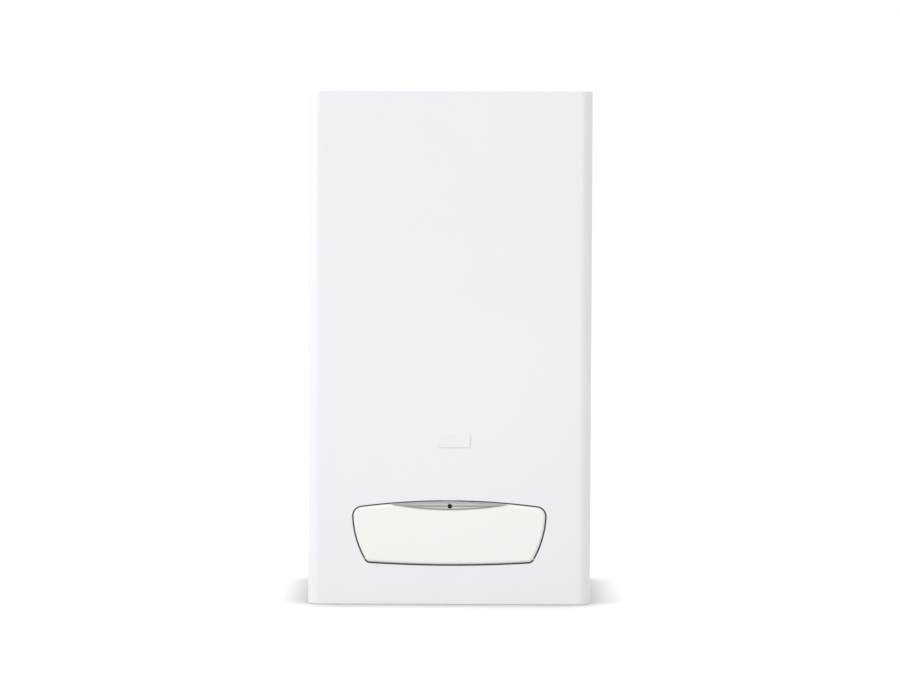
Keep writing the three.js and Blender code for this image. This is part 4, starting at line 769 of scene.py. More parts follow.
def pan_head(radius=3.4, height=2.2):
    """A pan-head screw seen from outside: a low dome with a cross recess, facing up."""
    dome = [(0, -1), (radius, -1), (radius, height * 0.35), (radius * 0.8, height * 0.85), (0, height)]
    head = smooth_turned("z", dome, (0, 0), radius * 0.3, 20)
    arm = radius * 0.62
    cross = join(box((-arm, arm), (-0.45, 0.45), (height * 0.4, height + 1)),
                 box((-0.45, 0.45), (-arm, arm), (height * 0.4, height + 1)))
    return cut(head, cross)


# ---- Chassis sheets ----
SHELL_HALF, TRAY_TOP, PIPE_Y = 216, 41.5, -75  # half the roof's and tray's width, the tray's top, the connections
REAR_INNER, REAR_FACE = -13.3, -11.8  # the upright rear edges of the roof and the tray
RAIL_LOW, RAIL_HIGH = reach("wall_rail")
RAIL_LEVEL = (RAIL_LOW.z + RAIL_HIGH.z) / 2


def wall_rail():
    half, thick = RAIL_HIGH.x, 2.5
    strip_part = across(half, (-thick, 0), (RAIL_LOW.z, RAIL_HIGH.z), 0.4)
    hook = strip([(-1, RAIL_LEVEL - thick), (RAIL_LOW.y, RAIL_LEVEL - thick), (RAIL_LOW.y, RAIL_LEVEL + 12)],
                 -thick, 3)
    hooks = [slab(hook, "x", span, 0.3) for span in ((120, 150), (-150, -120))]
    slots = []
    for x in (-165, -60, 60, 165):
        outline = arc((x + 6, RAIL_LEVEL), 4.5, -math.pi / 2, math.pi / 2, 10)
        outline += arc((x - 6, RAIL_LEVEL), 4.5, math.pi / 2, 1.5 * math.pi, 10)
        slots.append(slab(outline, "y", (-4, 1)))
    made = join(cut_holes(strip_part, *slots), *hooks)
    piece("rail", made, ZINC, "galvanised", "chassis", "wall_rail")


def bead(start, end, y, radius=5, depth=2.2, towards=1):
    """A long pressed rib on an upright sheet, from start to end, standing towards the wall or, at -1, the front."""
    way = (Vector(end) - Vector(start)).normalized()
    turn = math.atan2(way.y, way.x)
    outline = arc(end, radius, turn - math.pi / 2, turn + math.pi / 2, 8)
    outline += arc(start, radius, turn + math.pi / 2, turn + 1.5 * math.pi, 8)
    rings = [[(x, y + towards * out, z) for x, z in inset(outline, back * radius / 5)]
             for out, back in ((-0.6, 0), (0, 0), (depth * 0.55, 1.2), (depth * 0.9, 2.6), (depth, 4.2))]
    return loft(rings)


def back_frame():
    low, high = reach("back_frame")
    front, back = -11.5, high.y
    half, deep = high.x, low.y
    channel = [(half, deep), (half, back), (-half, back), (-half, deep)]
    shell = slab(strip(channel, 1.5, 3), "z", (low.z, high.z))
    lower = slab([(deep - 1, low.z - 1), (deep - 1, 382), (-48, 322), (-48, low.z - 1)], "x", (-half - 1, half + 1))
    hooks = both_sides((118, 152), (front - 1, back + 1), (RAIL_LEVEL - 18, RAIL_LEVEL + 0.3))
    beads = [bead((x, 120), (x, 680), back) for x in (-165, 165)]
    beads += [bead((-110, z), (110, z), back) for z in (120, 680)]
    beads += [bead((-110, 200), (-40, 420), back), bead((110, 200), (40, 420), back)]
    dish = smooth_turned("y", [(0, back - 1), (60, back - 1), (52, back + 2.2), (16, back + 2.2), (14, back + 0.8),
                               (0, back + 0.8)], (0, 590), 2)
    made = join(cut(shell, lower, *hooks), *beads, dish)
    piece("frame", bevelled(made, 0.35, 2, 50), ZINC, "galvanised", "chassis", "back_frame")
    piece("spacer", box_in(*reach("wall_spacer"), 1.5), FOAM, "rubber", "chassis", "wall_spacer")


def pipe_grommet(radius, hole, level, at):
    """A rubber ring with a groove, in a hole of the shelf, round a pipe."""
    profile = [(radius + 0.15, level - 3), (hole + 2.5, level - 3), (hole + 2.5, level - 0.3), (hole, level - 0.3),
               (hole, level + 1.5), (hole + 2.5, level + 1.5), (hole + 2.5, level + 4), (radius + 0.15, level + 4)]
    return turned("z", profile, at, 40, looped=True)


FLOW_DROP, RETURN_RISE, GAS_RISE, LOOM_RISE = (-178, -267), (170, -155), (0, -306), (190, -264)


def chamber_box():
    low, high = reach("chamber_box")
    half, wall, rim = high.x, 1.2, 9
    outside = across(half, (low.y, high.y), (low.z, high.z + 6), 2.4)
    inside = across(half - wall, (low.y + wall, high.y - wall), (low.z + wall, high.z + 9), 1.2)
    mouth = across(half - rim, (low.y - 5, low.y + 5), (low.z + rim, high.z - rim), 3)
    top = across(half + 5, (low.y - 5, high.y + 5), (high.z, high.z + 20))
    holes = [rod("z", r, (low.z - 5, low.z + 5), at)
             for at, r in ((FLOW_DROP, 11), (RETURN_RISE, 11), (GAS_RISE, 10), (LOOM_RISE, 7))]
    edge = across(half - 0.2, (low.y, low.y + wall), (high.z - rim, high.z))
    upper = join(cut_holes(outside, inside, mouth, top, *holes), edge)
    ribs = [box((x - 3, x + 3), (high.y - wall - 1.4, high.y - wall + 0.5), (low.z + 40, high.z - 40), 1)
            for x in (-150, 150)]
    piece("chamber", join(upper, *ribs), ZINC, "galvanised", "chassis", "chamber_box")
    rings = [pipe_grommet(r, hole, low.z, at) for at, r, hole in
             ((FLOW_DROP, 9, 11), (RETURN_RISE, 9, 11), (GAS_RISE, 8, 10), (LOOM_RISE, 4.5, 7))]
    piece("grommets", together(*rings), RUBBER, "rubber", "chassis")


FLUE_Y = -211
BLANK = (-130, FLUE_Y)


def top_panel():
    low, high = reach("top_panel")
    sheet = slab(rounded(rectangle((-SHELL_HALF, SHELL_HALF), (low.y, high.y)), 3), "z", (high.z - 1.5, high.z))
    rear = across(200, (REAR_INNER, REAR_FACE), (low.z, high.z - 1), 0.4)
    holes = [rod("z", 51, (low.z - 1, high.z + 1), (0, FLUE_Y), steps=72),
             rod("z", 34, (high.z - 5, high.z + 1), BLANK, steps=56)]
    made = cut(join(sheet, rear), *holes)
    piece("roof", bevelled(made, 0.35, 2, 50), ZINC, "galvanised", "chassis", "top_panel")
    low, high = reach("air_blanking_plate")
    plate = rod("z", high.x - BLANK[0], (low.z, high.z), BLANK, 0.4, 56)
    pressed = cut(plate, turned("z", [(24, high.z - 0.5), (28, high.z + 1), (24, high.z + 1)], BLANK, 56, True))
    piece("blanking_plate", pressed, ZINC, "galvanised", "chassis", "air_blanking_plate")


def base_tray():
    low, high = reach("base_tray")
    top, half, front, rear = TRAY_TOP, SHELL_HALF, low.y, REAR_INNER
    outside = across(half, (front, rear + 4), (low.z - 4, top), 2.6)
    inside = across(half - 1.5, (front + 1.5, rear + 9), (low.z - 9, top - 1.5), 1.1)
    trims = [across(half + 5, (front - 5, rear + 9), (low.z - 9, low.z)), across(half + 5, (rear, rear + 9), (0, 80))]
    back = across(200, (rear, rear + 1.5), (top - 1.5, 70), 0.4)
    tabs = both_sides((half - 1.5, high.x), (-24, rear), (SCREW_LEVEL - 6, SCREW_LEVEL + 6))
    span = (top - 3, top + 1)
    tails = ((-130, 13.2), (-65, 10.5), (0, 13.2), (65, 10.5), (130, 13.2))
    holes = [rod("z", r + 1, span, (x, PIPE_Y)) for x, r in tails]
    holes += [rod("z", 5, span, (98, PIPE_Y)), rod("z", 9.5, span, (-130, -128)), rod("z", 9.6, span, (185, -200))]
    holes += [rod("x", 1.9, (-230, 230), (SCREW_Y - 2.5, SCREW_LEVEL))]
    made = cut(join(cut(outside, inside, *trims), back, *tabs), *holes)
    piece("tray", bevelled(made, 0.35, 2, 50), ZINC, "galvanised", "chassis", "base_tray")


def chassis_screws():
    roof, shelf = reach("top_panel")[1].z, reach("chamber_box")[0]
    up = [(x, y, roof) for x in (-205, 205) for y in (-318, -175, -25)]
    up += [(x, y, reach("air_blanking_plate")[1].z - 0.6) for x, y in spots_round(BLANK, 31, 3, 0.5)]
    rear = [(x, REAR_FACE + 1.6, 803) for x in (-190, 0, 190)] + [(x, REAR_FACE + 1.6, 57) for x in (-185, 185)]
    front = [(x, shelf.y, z) for x in (-203.5, 203.5) for z in (400, 520, 640, 760)]
    low_head, head = pan_head(3.2, 1.3), pan_head()
    made = [set_on(up, "z", low_head, 1), set_on(rear, "y", head, 2), set_on(front, "-y", head, 3)]
    sides = [(210, y, z) for y, z in ((-30, 60), (-30, 300), (-150, 420), (-150, 780), (-30, 780))]
    made += [set_on(sides, "x", low_head, 4), set_on([(-x, y, z) for x, y, z in sides], "-x", low_head, 5)]
    piece("chassis_screws", together(*made), BRIGHT_STEEL, "steel", "chassis")
    boss = nut("y", 17, (-9.4, -3.4), (0, 590))
    stud = rod("y", 5, (-10, -1.6), (0, 590), 0.6)
    piece("vessel_nut", together(boss, stud), BRIGHT_STEEL, "steel", "chassis")
    heads = [set_on([(x, SCREW_Y - 2.5, SCREW_LEVEL)], facing, pan_head(4.2, 1.2), seed)
             for x, facing, seed in ((HALF_WIDTH - SHEET, "x", 6), (SHEET - HALF_WIDTH, "-x", 7))]
    piece("cover_screws", together(*heads), BRIGHT_STEEL, "steel", "cover")


# ---- Flue and fan ----
def lip_ring(radius, inner, level):
    """A soft ring in a flue socket: a band against the wall and a thin lip that leans inwards and down."""
    profile = [(radius, level - 4), (radius, level + 4), (radius - 0.8, level + 4), (radius - 0.9, level + 1),
               (inner, level - 2.5), (inner + 0.3, level - 3.2), (radius - 1, level - 0.6), (radius - 0.8, level - 4)]
    return turned("z", profile, (0, FLUE_Y), 72, looped=True)


def flue_sockets():
    low, high = reach("air_inlet_socket")
    tube_low, base, top, bore = low.z, high.z - 1.6, high.z, 48.6
    profile = [(bore, tube_low), (50, tube_low), (50, base), (64, base), (64, top), (51.5, top), (50.6, top + 1.2),
               (bore, top + 1.2)]
    socket = turned("z", rounded(profile, 0.45, 3), (0, FLUE_Y), 96, looped=True)
    piece("air_socket", socket, ENAMEL, "enamel", "chassis", "air_inlet_socket")
    places = [(x, y, top) for x, y in spots_round((0, FLUE_Y), 57.5, 4)]
    piece("socket_screws", set_on(places, "z", pan_head(3.4, 1.6), 8), BRIGHT_STEEL, "steel", "chassis")
    low, high = reach("exhaust_spigot")
    inner, outer = 28.6, 30
    profile = [(inner, low.z), (35, low.z), (35, low.z + 1.7), (outer, low.z + 2.2), (outer, 799), (outer + 1.2, 801.5),
               (outer, 804), (outer, high.z - 2), (outer + 0.8, high.z), (inner, high.z)]
    spigot = turned("z", rounded(profile, 0.5, 3), (0, FLUE_Y), 72, looped=True)
    piece("exhaust_socket", spigot, STAINLESS, "stainless", "chassis", "exhaust_spigot")
    piece("flue_lips", together(lip_ring(bore, 46.6, 805), lip_ring(inner, 27.2, 808)), RUBBER, "rubber", "chassis")


FAN_X, FAN_Z, FAN_FRONT, FAN_BACK, OUTLET_TOP = -38, 738, -236, -186, 787.5


def scroll(back, top):
    """The fan's outline: a spiral that narrows from its outlet on the right, round under the wheel."""
    outline = [(FAN_X + 62 - back, top)]
    for i in range(61):
        swept = math.radians(285) * i / 60
        radius = 62 - 14 * swept / math.radians(300) - back
        outline.append((FAN_X + radius * math.cos(-swept), FAN_Z + radius * math.sin(-swept)))
    return outline + [(outline[-1][0], top)]


def fan():
    y, centre = (FAN_FRONT, FAN_BACK), (FAN_X, FAN_Z)
    shell = slab(scroll(0, OUTLET_TOP), "y", y, 1.2)
    space = slab(scroll(1.5, OUTLET_TOP + 5), "y", (y[0] + 1.5, y[1] - 1.5), 0.8)
    middle = sum(y) / 2
    seam = slab(scroll(-2, OUTLET_TOP - 5), "y", (middle - 0.9, middle + 0.9), 0.4)
    flange = across(32, (y[0] - 2, y[1] + 2), (OUTLET_TOP - 2, OUTLET_TOP), 0.5)
    hollow = across(22, (y[0] + 1.5, y[1] - 1.5), (OUTLET_TOP - 3, OUTLET_TOP + 1), 0.6)
    eye = rod("y", 26, (y[1] - 3, y[1] + 2), centre)
    shaft_way = rod("y", 5, (y[0] - 1, y[0] + 3), centre)
    dish = turned("y", [(44, y[0] + 1), (44, y[0] - 0.1), (42.5, y[0] - 1), (39, y[0] - 1), (37, y[0] + 1)], centre, 64,
                  looped=True)
    made = cut(join(shell, seam, flange, dish), space, hollow, eye, shaft_way)
    piece("fan_scroll", bevelled(made, 0.25, 2, 50), ZINC, "galvanised", "chassis", "fan_housing")
    mouth = [(26, y[1] - 4), (25, y[1] - 4), (24.4, y[1] - 1), (27, y[1] + 0.25), (28.5, y[1] + 0.25), (28.5, y[1]),
             (26.4, y[1] - 0.8)]
    inlet = turned("y", rounded(mouth, 0.3, 2), centre, 48, looped=True)
    tap = rod("x", 2.6, (FAN_X + 61, FAN_X + 70), (FLUE_Y, 768), 0.4, 20)
    barb = turned("x", [(2.6, FAN_X + 65), (3.2, FAN_X + 66), (2.6, FAN_X + 69)], (FLUE_Y, 768), 20)
    piece("fan_inlet", together(inlet, tap, barb), STAINLESS, "stainless", "chassis")
    blade = slab(strip([(29.5, -1.5), (34, -0.4), (39.2, 2.6)], 0.9, 6), "z", (-18.6, 18.6), 0.2)
    blades = round_about("y", centre, moved(blade, (0, 0, -211.5)), 30, STAINLESS)
    front, back = -230, -193
    disc = turned("y", [(0, front), (40, front), (40, front + 1.2), (12, front + 1.4), (9, front + 5), (9, front + 14),
                        (0, front + 14)], centre, 64)
    rim = band("y", (30, 40), (back - 1.3, back), centre, 0.3, 64)
    shaft = rod("y", 2.5, (-248, front + 2), centre, 0.3, 24)
    piece("fan_blades", together(blades, disc, rim, shaft), STAINLESS, "stainless", "fan_wheel", "fan_impeller")


def fan_drive():
    face, centre = FAN_FRONT - 0.3, (FAN_X, FAN_Z)
    neck = smooth_turned("y", [(0, face), (14, face), (14, face - 6), (31, face - 7.5), (33, face - 12),
                               (33, face - 44), (29, face - 50), (9, face - 51), (9, face - 55), (0, face - 55)],
                         centre, 2)
    rib = box((31.5, 34), (-0.7, 0.7), (-44, -14), 0.5)
    ribs = round_about("y", centre, moved(rib, (0, 0, face)), 28, BLACK_NYLON)
    slot = box((14, 26), (-1, 1), (face - 51.2, face - 49.6), 0.4)
    slots = round_about("y", centre, slot, 16, BLACK_NYLON)
    body = cut(neck, rod("y", 3.4, (-252, face + 1), centre))
    piece("fan_motor_case", together(body, ribs, slots), BLACK_NYLON, "dark_plastic", "chassis", "fan_motor")
    block = box((FAN_X - 12, FAN_X + 12), (face - 40, face - 16), (FAN_Z + 30, FAN_Z + 41), 1.2)
    piece("fan_terminals", block, WHITE_NYLON, "white_plastic", "chassis")
    blade = box((-0.4, 0.4), (-2.6, 2.6), (0, 6), 0.3)
    tabs = set_on([(FAN_X + dx, face - 28, FAN_Z + 40.5) for dx in (-7, -1)], "z", blade, 11)
    leg = turned("y", [(0, face + 0.1), (5, face + 0.1), (5, face - 3), (3, face - 6), (0, face - 6)], (0, 0), 20)
    feet = [(FAN_X + 36 * math.cos(t), FAN_Z + 36 * math.sin(t)) for t in (0.4, 2.5, 4.6)]
    legs = [moved(leg, (u, 0, v)) for u, v in feet]
    screws = set_on([(u, face - 5, v) for u, v in feet], "-y", pan_head(3.6, 2), 12)
    piece("fan_fixings", together(tabs, screws, *legs), BRIGHT_STEEL, "steel", "chassis")


HOOD_LOW, RISER_TOP = 630.3, 780


def sheet_funnel(back):
    """The hood's outside, or with a distance the space inside its sheet."""
    def corners(x, y, z):
        outline = rectangle((back - x, x - back), (FLUE_Y + back - y, FLUE_Y + y - back))
        return [(u, v, z) for u, v in rounded(outline, 9 - back, 5)]
    levels = [(120, 80, HOOD_LOW - (5 if back else 0)), (120, 80, 638), (119.4, 79.4, 640.5), (117.5, 77.5, 643.2),
              (82, 38, 677 - back), (79.8, 35.8, 678.9 - back), (76, 32, 680 - back)]
    return loft([corners(*level) for level in levels])


def hood():
    def body(back):
        riser = box((FAN_X - 40 + back, FAN_X + 40 - back), (-185.7 + back, -140 - back), (646, RISER_TOP - back),
                    3.5 - back)
        return join(sheet_funnel(back), riser)
    flange = ring(rounded(rectangle((-124, 124), (-295, -127)), 10), rounded(rectangle((-118, 118), (-289, -133)), 8),
                  (HOOD_LOW, HOOD_LOW + 1.5), "z")
    way_in = rod("y", 27, (-187, -182.7), (FAN_X, FAN_Z))
    made = cut(join(body(0), flange), body(1.5), way_in)
    piece("flue_funnel", bevelled(made, 0.3, 2, 50), STAINLESS, "stainless", "chassis", "flue_hood")
    places = [(x, y, HOOD_LOW + 1.5) for y in (-291.5, -130.5) for x in (-105, -35, 35, 105)]
    piece("hood_screws", set_on(places, "z", pan_head(3, 1.8), 13), BRIGHT_STEEL, "steel", "chassis")


# ---- Heat exchanger ----
TUBE_LEVEL, TUBE_RADIUS, PORT_X = 601, 8, 146
TUBE_Y = [FLUE_Y + (i - 2) * 28 for i in range(5)]


def heat_exchanger():
    low, high = 572, 630
    sheet = box((-0.3, 0.3), (FLUE_Y - 75, FLUE_Y + 75), (low, high), 0.15, 6)
    fins = row(moved(sheet, (-108 + 2.4, 0, 0)), 89, (2.4, 0, 0), COPPER)
    core = across(107, (FLUE_Y - 66, FLUE_Y + 66), (low + 9, high - 9), 2)
    ends = both_sides((107, 109), (FLUE_Y - 76, FLUE_Y + 76), (low, high), 0.6)
    straps = [across(108.5, (y - 0.7, y + 0.7), (z - 6, z + 6), 0.4)
              for y in (FLUE_Y - 75.4, FLUE_Y + 75.4) for z in (low + 9, high - 9)]
    collars = [rod("x", 10, span, (y, TUBE_LEVEL), 1.4, 32) for y in TUBE_Y for span in ((-112, -107), (107, 112))]
    bends = []
    for side, i in ((-1, 1), (-1, 3), (1, 0), (1, 2)):
        near, far = side * 105, side * 139
        bends.append(pipe([(near, TUBE_Y[i], TUBE_LEVEL), (far, TUBE_Y[i], TUBE_LEVEL),
                           (far, TUBE_Y[i + 1], TUBE_LEVEL), (near, TUBE_Y[i + 1], TUBE_LEVEL)], TUBE_RADIUS, 13.9, 32))
    ports = [rod("x", TUBE_RADIUS, (-PORT_X, -105), (TUBE_Y[0], TUBE_LEVEL), 0.4),
             rod("x", TUBE_RADIUS, (105, PORT_X), (TUBE_Y[4], TUBE_LEVEL), 0.4)]
    made = together(fins, core, *ends, *straps, *collars, *bends, *ports)
    piece("finned_block", made, COPPER, "copper", "chassis", "heat_exchanger")
    nuts = [union_nut("x", 21, (-PORT_X, -PORT_X + 12), (TUBE_Y[0], TUBE_LEVEL)),
            union_nut("x", 21, (PORT_X - 12, PORT_X), (TUBE_Y[4], TUBE_LEVEL))]
    piece("exchanger_nuts", together(*nuts), BRASS, "brass", "chassis")


def union_nut(axis, flats, span, centre):
    """A union nut: a hexagon with a round shoulder at its far end."""
    low, high = span
    return together(nut(axis, flats, (low, high - 1.5), centre, 0.2),
                    rod(axis, flats * 0.44, (low - 0.8, high), centre, 0.5, 36))


# ---- Burner ----
CHAMBER_LOW, CHAMBER_HIGH, CHAMBER_X, CHAMBER_Y = 440, 571.7, 125, 86
SIGHT, ELECTRODE = (72, 520), (30, 480)


def chamber_openings():
    """The ways through the chamber's front: for the burner, the sight glass and the electrode."""
    y = (FLUE_Y - CHAMBER_Y - 4, FLUE_Y - CHAMBER_Y + 14.5)
    return [across(106, y, (CHAMBER_LOW - 1, CHAMBER_LOW + 15), 1), rod("y", 9, y, SIGHT), rod("y", 5.2, y, ELECTRODE)]


def combustion_chamber():
    y = lambda half: (FLUE_Y - half, FLUE_Y + half)
    shell = across(CHAMBER_X, y(CHAMBER_Y), (CHAMBER_LOW - 4, CHAMBER_HIGH + 4), 2.6)
    inside = across(CHAMBER_X - 1.2, y(CHAMBER_Y - 1.2), (CHAMBER_LOW - 9, CHAMBER_HIGH + 9), 1.4)
    ends = [across(200, (-400, 0), z) for z in ((CHAMBER_LOW - 20, CHAMBER_LOW), (CHAMBER_HIGH, CHAMBER_HIGH + 20))]
    feet = both_sides((CHAMBER_X - 14, CHAMBER_X), y(60), (393.6, CHAMBER_LOW + 2), 0.6)
    hollows = both_sides((CHAMBER_X - 12.8, CHAMBER_X - 1.2), y(70), (395.2, CHAMBER_LOW - 2), 0.6)
    front = FLUE_Y - CHAMBER_Y
    beads = [bead((x, CHAMBER_LOW + 30), (x, CHAMBER_HIGH - 22), front, 5, 1.8, -1) for x in (-104, 106)]
    beads += [bead((-84, CHAMBER_HIGH - 17), (84, CHAMBER_HIGH - 17), front, 4, 1.6, -1)]
    beads += [bead((-84, 478), (-12, 535), front, 5, 1.8, -1), bead((-84, 535), (-12, 478), front, 5, 1.8, -1)]
    flanges = [across(CHAMBER_X + 4, (v - 0.8, v + 0.8), (CHAMBER_HIGH - 9, CHAMBER_HIGH), 0.4)
               for v in (front + 0.2, FLUE_Y + CHAMBER_Y - 0.2)]
    made = cut(join(cut(shell, inside, *ends), *feet, *beads, *flanges), *hollows, *chamber_openings())
    piece("fire_box", bevelled(made, 0.25, 2, 50), STAINLESS, "stainless", "chassis", "combustion_chamber")
    seat = turned("y", rounded([(7.6, front - 0.4), (15, front - 0.4), (15, front - 2.2), (11, front - 3.4),
                                (7.6, front - 3.4)], 0.4, 2), SIGHT, 40, looped=True)
    outline = [(SIGHT[0] + a, SIGHT[1] + b) for a, b in rounded(rectangle((-24, 24), (-8, 8)), 7, 5)]
    plate = slab(outline, "y", (front - 1.2, front - 0.2), 0.3)
    holder = join(cut(plate, rod("y", 7.6, (front - 5, front + 5), SIGHT)), seat)
    places = [(SIGHT[0] + dx, front - 1.2, SIGHT[1]) for dx in (-18.5, 18.5)]
    places += [(x, front - 0.6, CHAMBER_HIGH - 4.5) for x in (-115, -60, 0, 60, 115)]
    screws = set_on(places, "-y", pan_head(2.9, 1.8), 14)
    piece("sight_frame", together(holder, screws), BRIGHT_STEEL, "steel", "chassis")
    piece("sight_glass", rod("y", 8.8, (front - 0.2, front + 2.8), SIGHT, 0.4), CLEAR, "clear_glass", "chassis")
    outer, inner = CHAMBER_X - 1.5, CHAMBER_X - 13
    lining = ring(rounded(rectangle((-outer, outer), y(CHAMBER_Y - 1.5)), 2),
                  rectangle((-inner, inner), y(CHAMBER_Y - 13)), (CHAMBER_LOW + 2.4, CHAMBER_HIGH - 0.3), "z")
    lining = cut(lining, *chamber_openings())
    piece("fibre_lining", bevelled(lining, 0.8, 2, 50), FIBRE, "ceramic_fibre", "chassis", "chamber_lining")


GAS_LEVEL, GAS_Y, BURNER_FRONT, BURNER_BACK = 446, -306, -278, -144


def burner():
    outline = rounded([(-2.5, 434), (2.5, 434), (5.5, 446), (5.5, 467), (3.5, 468), (-3.5, 468), (-5.5, 467),
                       (-5.5, 446)], 1, 2)
    blade = slab(outline, "y", (BURNER_FRONT, BURNER_BACK), 1)
    blade = cut(blade, rod("y", 4, (BURNER_FRONT - 4, BURNER_FRONT + 12), (0, GAS_LEVEL), steps=20))
    ridge = box((-4.6, 4.6), (-0.9, 0.9), (466.5, 469.2), 0.4)
    ridges = row(moved(ridge, (0, BURNER_FRONT + 6, 0)), 41, (0, 3.05, 0), STAINLESS)
    crease = slab(rounded([(4.5, 449), (6, 450.5), (6, 460), (4.5, 461.5)], 0.5, 2), "y", (-262, -160), 0.6)
    pressing = together(blade, ridges, crease, moved(crease, (0, -422, 0), math.pi))
    blades = row(moved(pressing, (-95, 0, 0)), 11, (19, 0, 0), STAINLESS)
    bars = [across(111, y, (438, 460), 0.5) for y in ((BURNER_FRONT - 3, BURNER_FRONT - 1.4),
                                                      (BURNER_BACK + 1.4, BURNER_BACK + 3))]
    mouths = [rod("y", 4.4, (BURNER_FRONT - 8, BURNER_FRONT + 4), (-95 + 19 * i, GAS_LEVEL), steps=20)
              for i in range(11)]
    piece("burner_blades", together(blades, cut_holes(bars[0], *mouths), bars[1]), STAINLESS, "stainless", "chassis",
          "burner")


def gas_bar():
    bar = rod("x", 8, (-104, 104), (GAS_Y, GAS_LEVEL), 0.6)
    jet = together(nut("y", 6, (GAS_Y + 6.5, GAS_Y + 13), (-95, GAS_LEVEL)),
                   smooth_turned("y", [(0, GAS_Y + 2), (2.6, GAS_Y + 2), (2.6, GAS_Y + 19), (1.6, GAS_Y + 23),
                                       (0, GAS_Y + 23)], (-95, GAS_LEVEL), 0.4, 20))
    jets = row(jet, 11, (19, 0, 0), BRASS)
    inlet = together(rod("z", 9, (428, GAS_LEVEL), (0, GAS_Y), 0.5), union_nut("z", 21, (426.8, 439), (0, GAS_Y)))
    ends = [nut("x", 17, span, (GAS_Y, GAS_LEVEL)) for span in ((-107.5, -103), (103, 107.5))]
    ears = both_sides((106, 112), (GAS_Y - 3, GAS_Y + 8.7), (GAS_LEVEL - 8, GAS_LEVEL + 8), 0.8)
    piece("gas_rail", together(bar, jets, inlet, *ends, *ears), BRASS, "brass", "chassis", "burner_manifold")


def electrode():
    profile = [(0, -286), (4.1, -286), (4.1, -296), (4.1, -303)]
    for k in range(4):
        profile += [(4.2, -304 - 2.6 * k), (3.3, -305 - 2.6 * k), (4.2, -306 - 2.6 * k)]
    body = turned("y", profile + [(3.4, -315), (2.4, -316), (0, -316)], ELECTRODE, 32)
    x, z = ELECTRODE
    piece("electrode_body", body, GLAZED_CERAMIC, "glazed_ceramic", "chassis", "ignition_electrode")
    outline = [(x + a, z + b) for a, b in rounded(rectangle((-7, 7), (-7, 18)), 5, 5)]
    plate = slab(outline, "y", (-301, -298.4), 0.4)
    plate = cut(plate, rod("y", 4.25, (-310, -290), ELECTRODE))
    wire = pipe([(x, -288, z), (x, -270, z), (x, -266, z - 8)], 0.9, 3, 12)
    screw = set_on([(x, -301, z + 13)], "-y", pan_head(3, 1.8), 15)
    piece("electrode_wire", together(plate, wire, screw), BRIGHT_STEEL, "steel", "chassis")
    lead = pipe([(x, -315, z), (x, -322, z), (x + 8, -324, z + 26), (150, -322, z + 34), (196, -300, z + 40)],
                2.6, 7, 16)
    piece("ignition_lead", lead, SILICONE, "silicone", "chassis")


# ---- Air pressure switch ----
def pressure_switch():
    y, z, face = -200, 735, 180
    case = smooth_turned("x", [(0, face), (12, face), (13, face + 4), (28, face + 7), (28, face + 18),
                               (26, face + 26), (0, face + 26)], (y, z), 1)
    rim = band("x", (27, 29), (face + 11.2, face + 14.6), (y, z), 0.5, 56)
    clip = box((27.5, 29.6), (-3, 3), (face + 9.6, face + 16.4), 0.6)
    clips = round_about("x", (y, z), clip, 6, WHITE_NYLON)
    taps = []
    for at, length in (((y, z), 2), ((y + 17, z + 8), 10)):
        taps += [rod("x", 2.4, (face - 10, face + length), at, 0.4, 20),
                 turned("x", [(2.4, face - 7), (3, face - 8), (2.2, face - 9.9)], at, 20)]
    piece("switch_case", together(case, rim, clips, *taps), WHITE_NYLON, "white_plastic", "chassis",
          "air_pressure_switch")
    tab = box((-0.4, 0.4), (-2.4, 2.4), (0, 6), 0.3)
    spots = [(face - 0.5, y + dy, z - 17) for dy in (-9, 0, 9)]
    tabs = set_on(spots, "-x", tab, 16)
    piece("switch_tabs", tabs, BRIGHT_STEEL, "steel", "chassis")
    ends = ((FAN_X + 70.3, FLUE_Y, 768), (face - 10.3, y, z))
    hose = pipe([ends[0], (72, FLUE_Y, 768), (130, y, z), ends[1]], 4, 20, 24)
    piece("air_hose", hose, SILICONE, "silicone", "chassis", "pressure_hose")
    rings = [band("x", (4, 4.7), (at - 2.5, at + 2.5), where, 0.3, 28)
             for at, where in ((ends[0][0] + 5, (FLUE_Y, 768)), (ends[1][0] - 5, (y, z)))]
    piece("hose_clips", together(*rings), BRIGHT_STEEL, "steel", "chassis")


# ---- Expansion vessel and pipes ----
PUMP, SAFETY, SAFETY_Y, FILLING_X, VENT_X = (130, 150), (-130, 100), -128, 98, 160
PUMP_SCREWS = 43  # the circle of the four screws that hold the pump's motor
HOT_PORT, HEATING_PORT, EXCHANGER_FRONT = 112, 153, -50


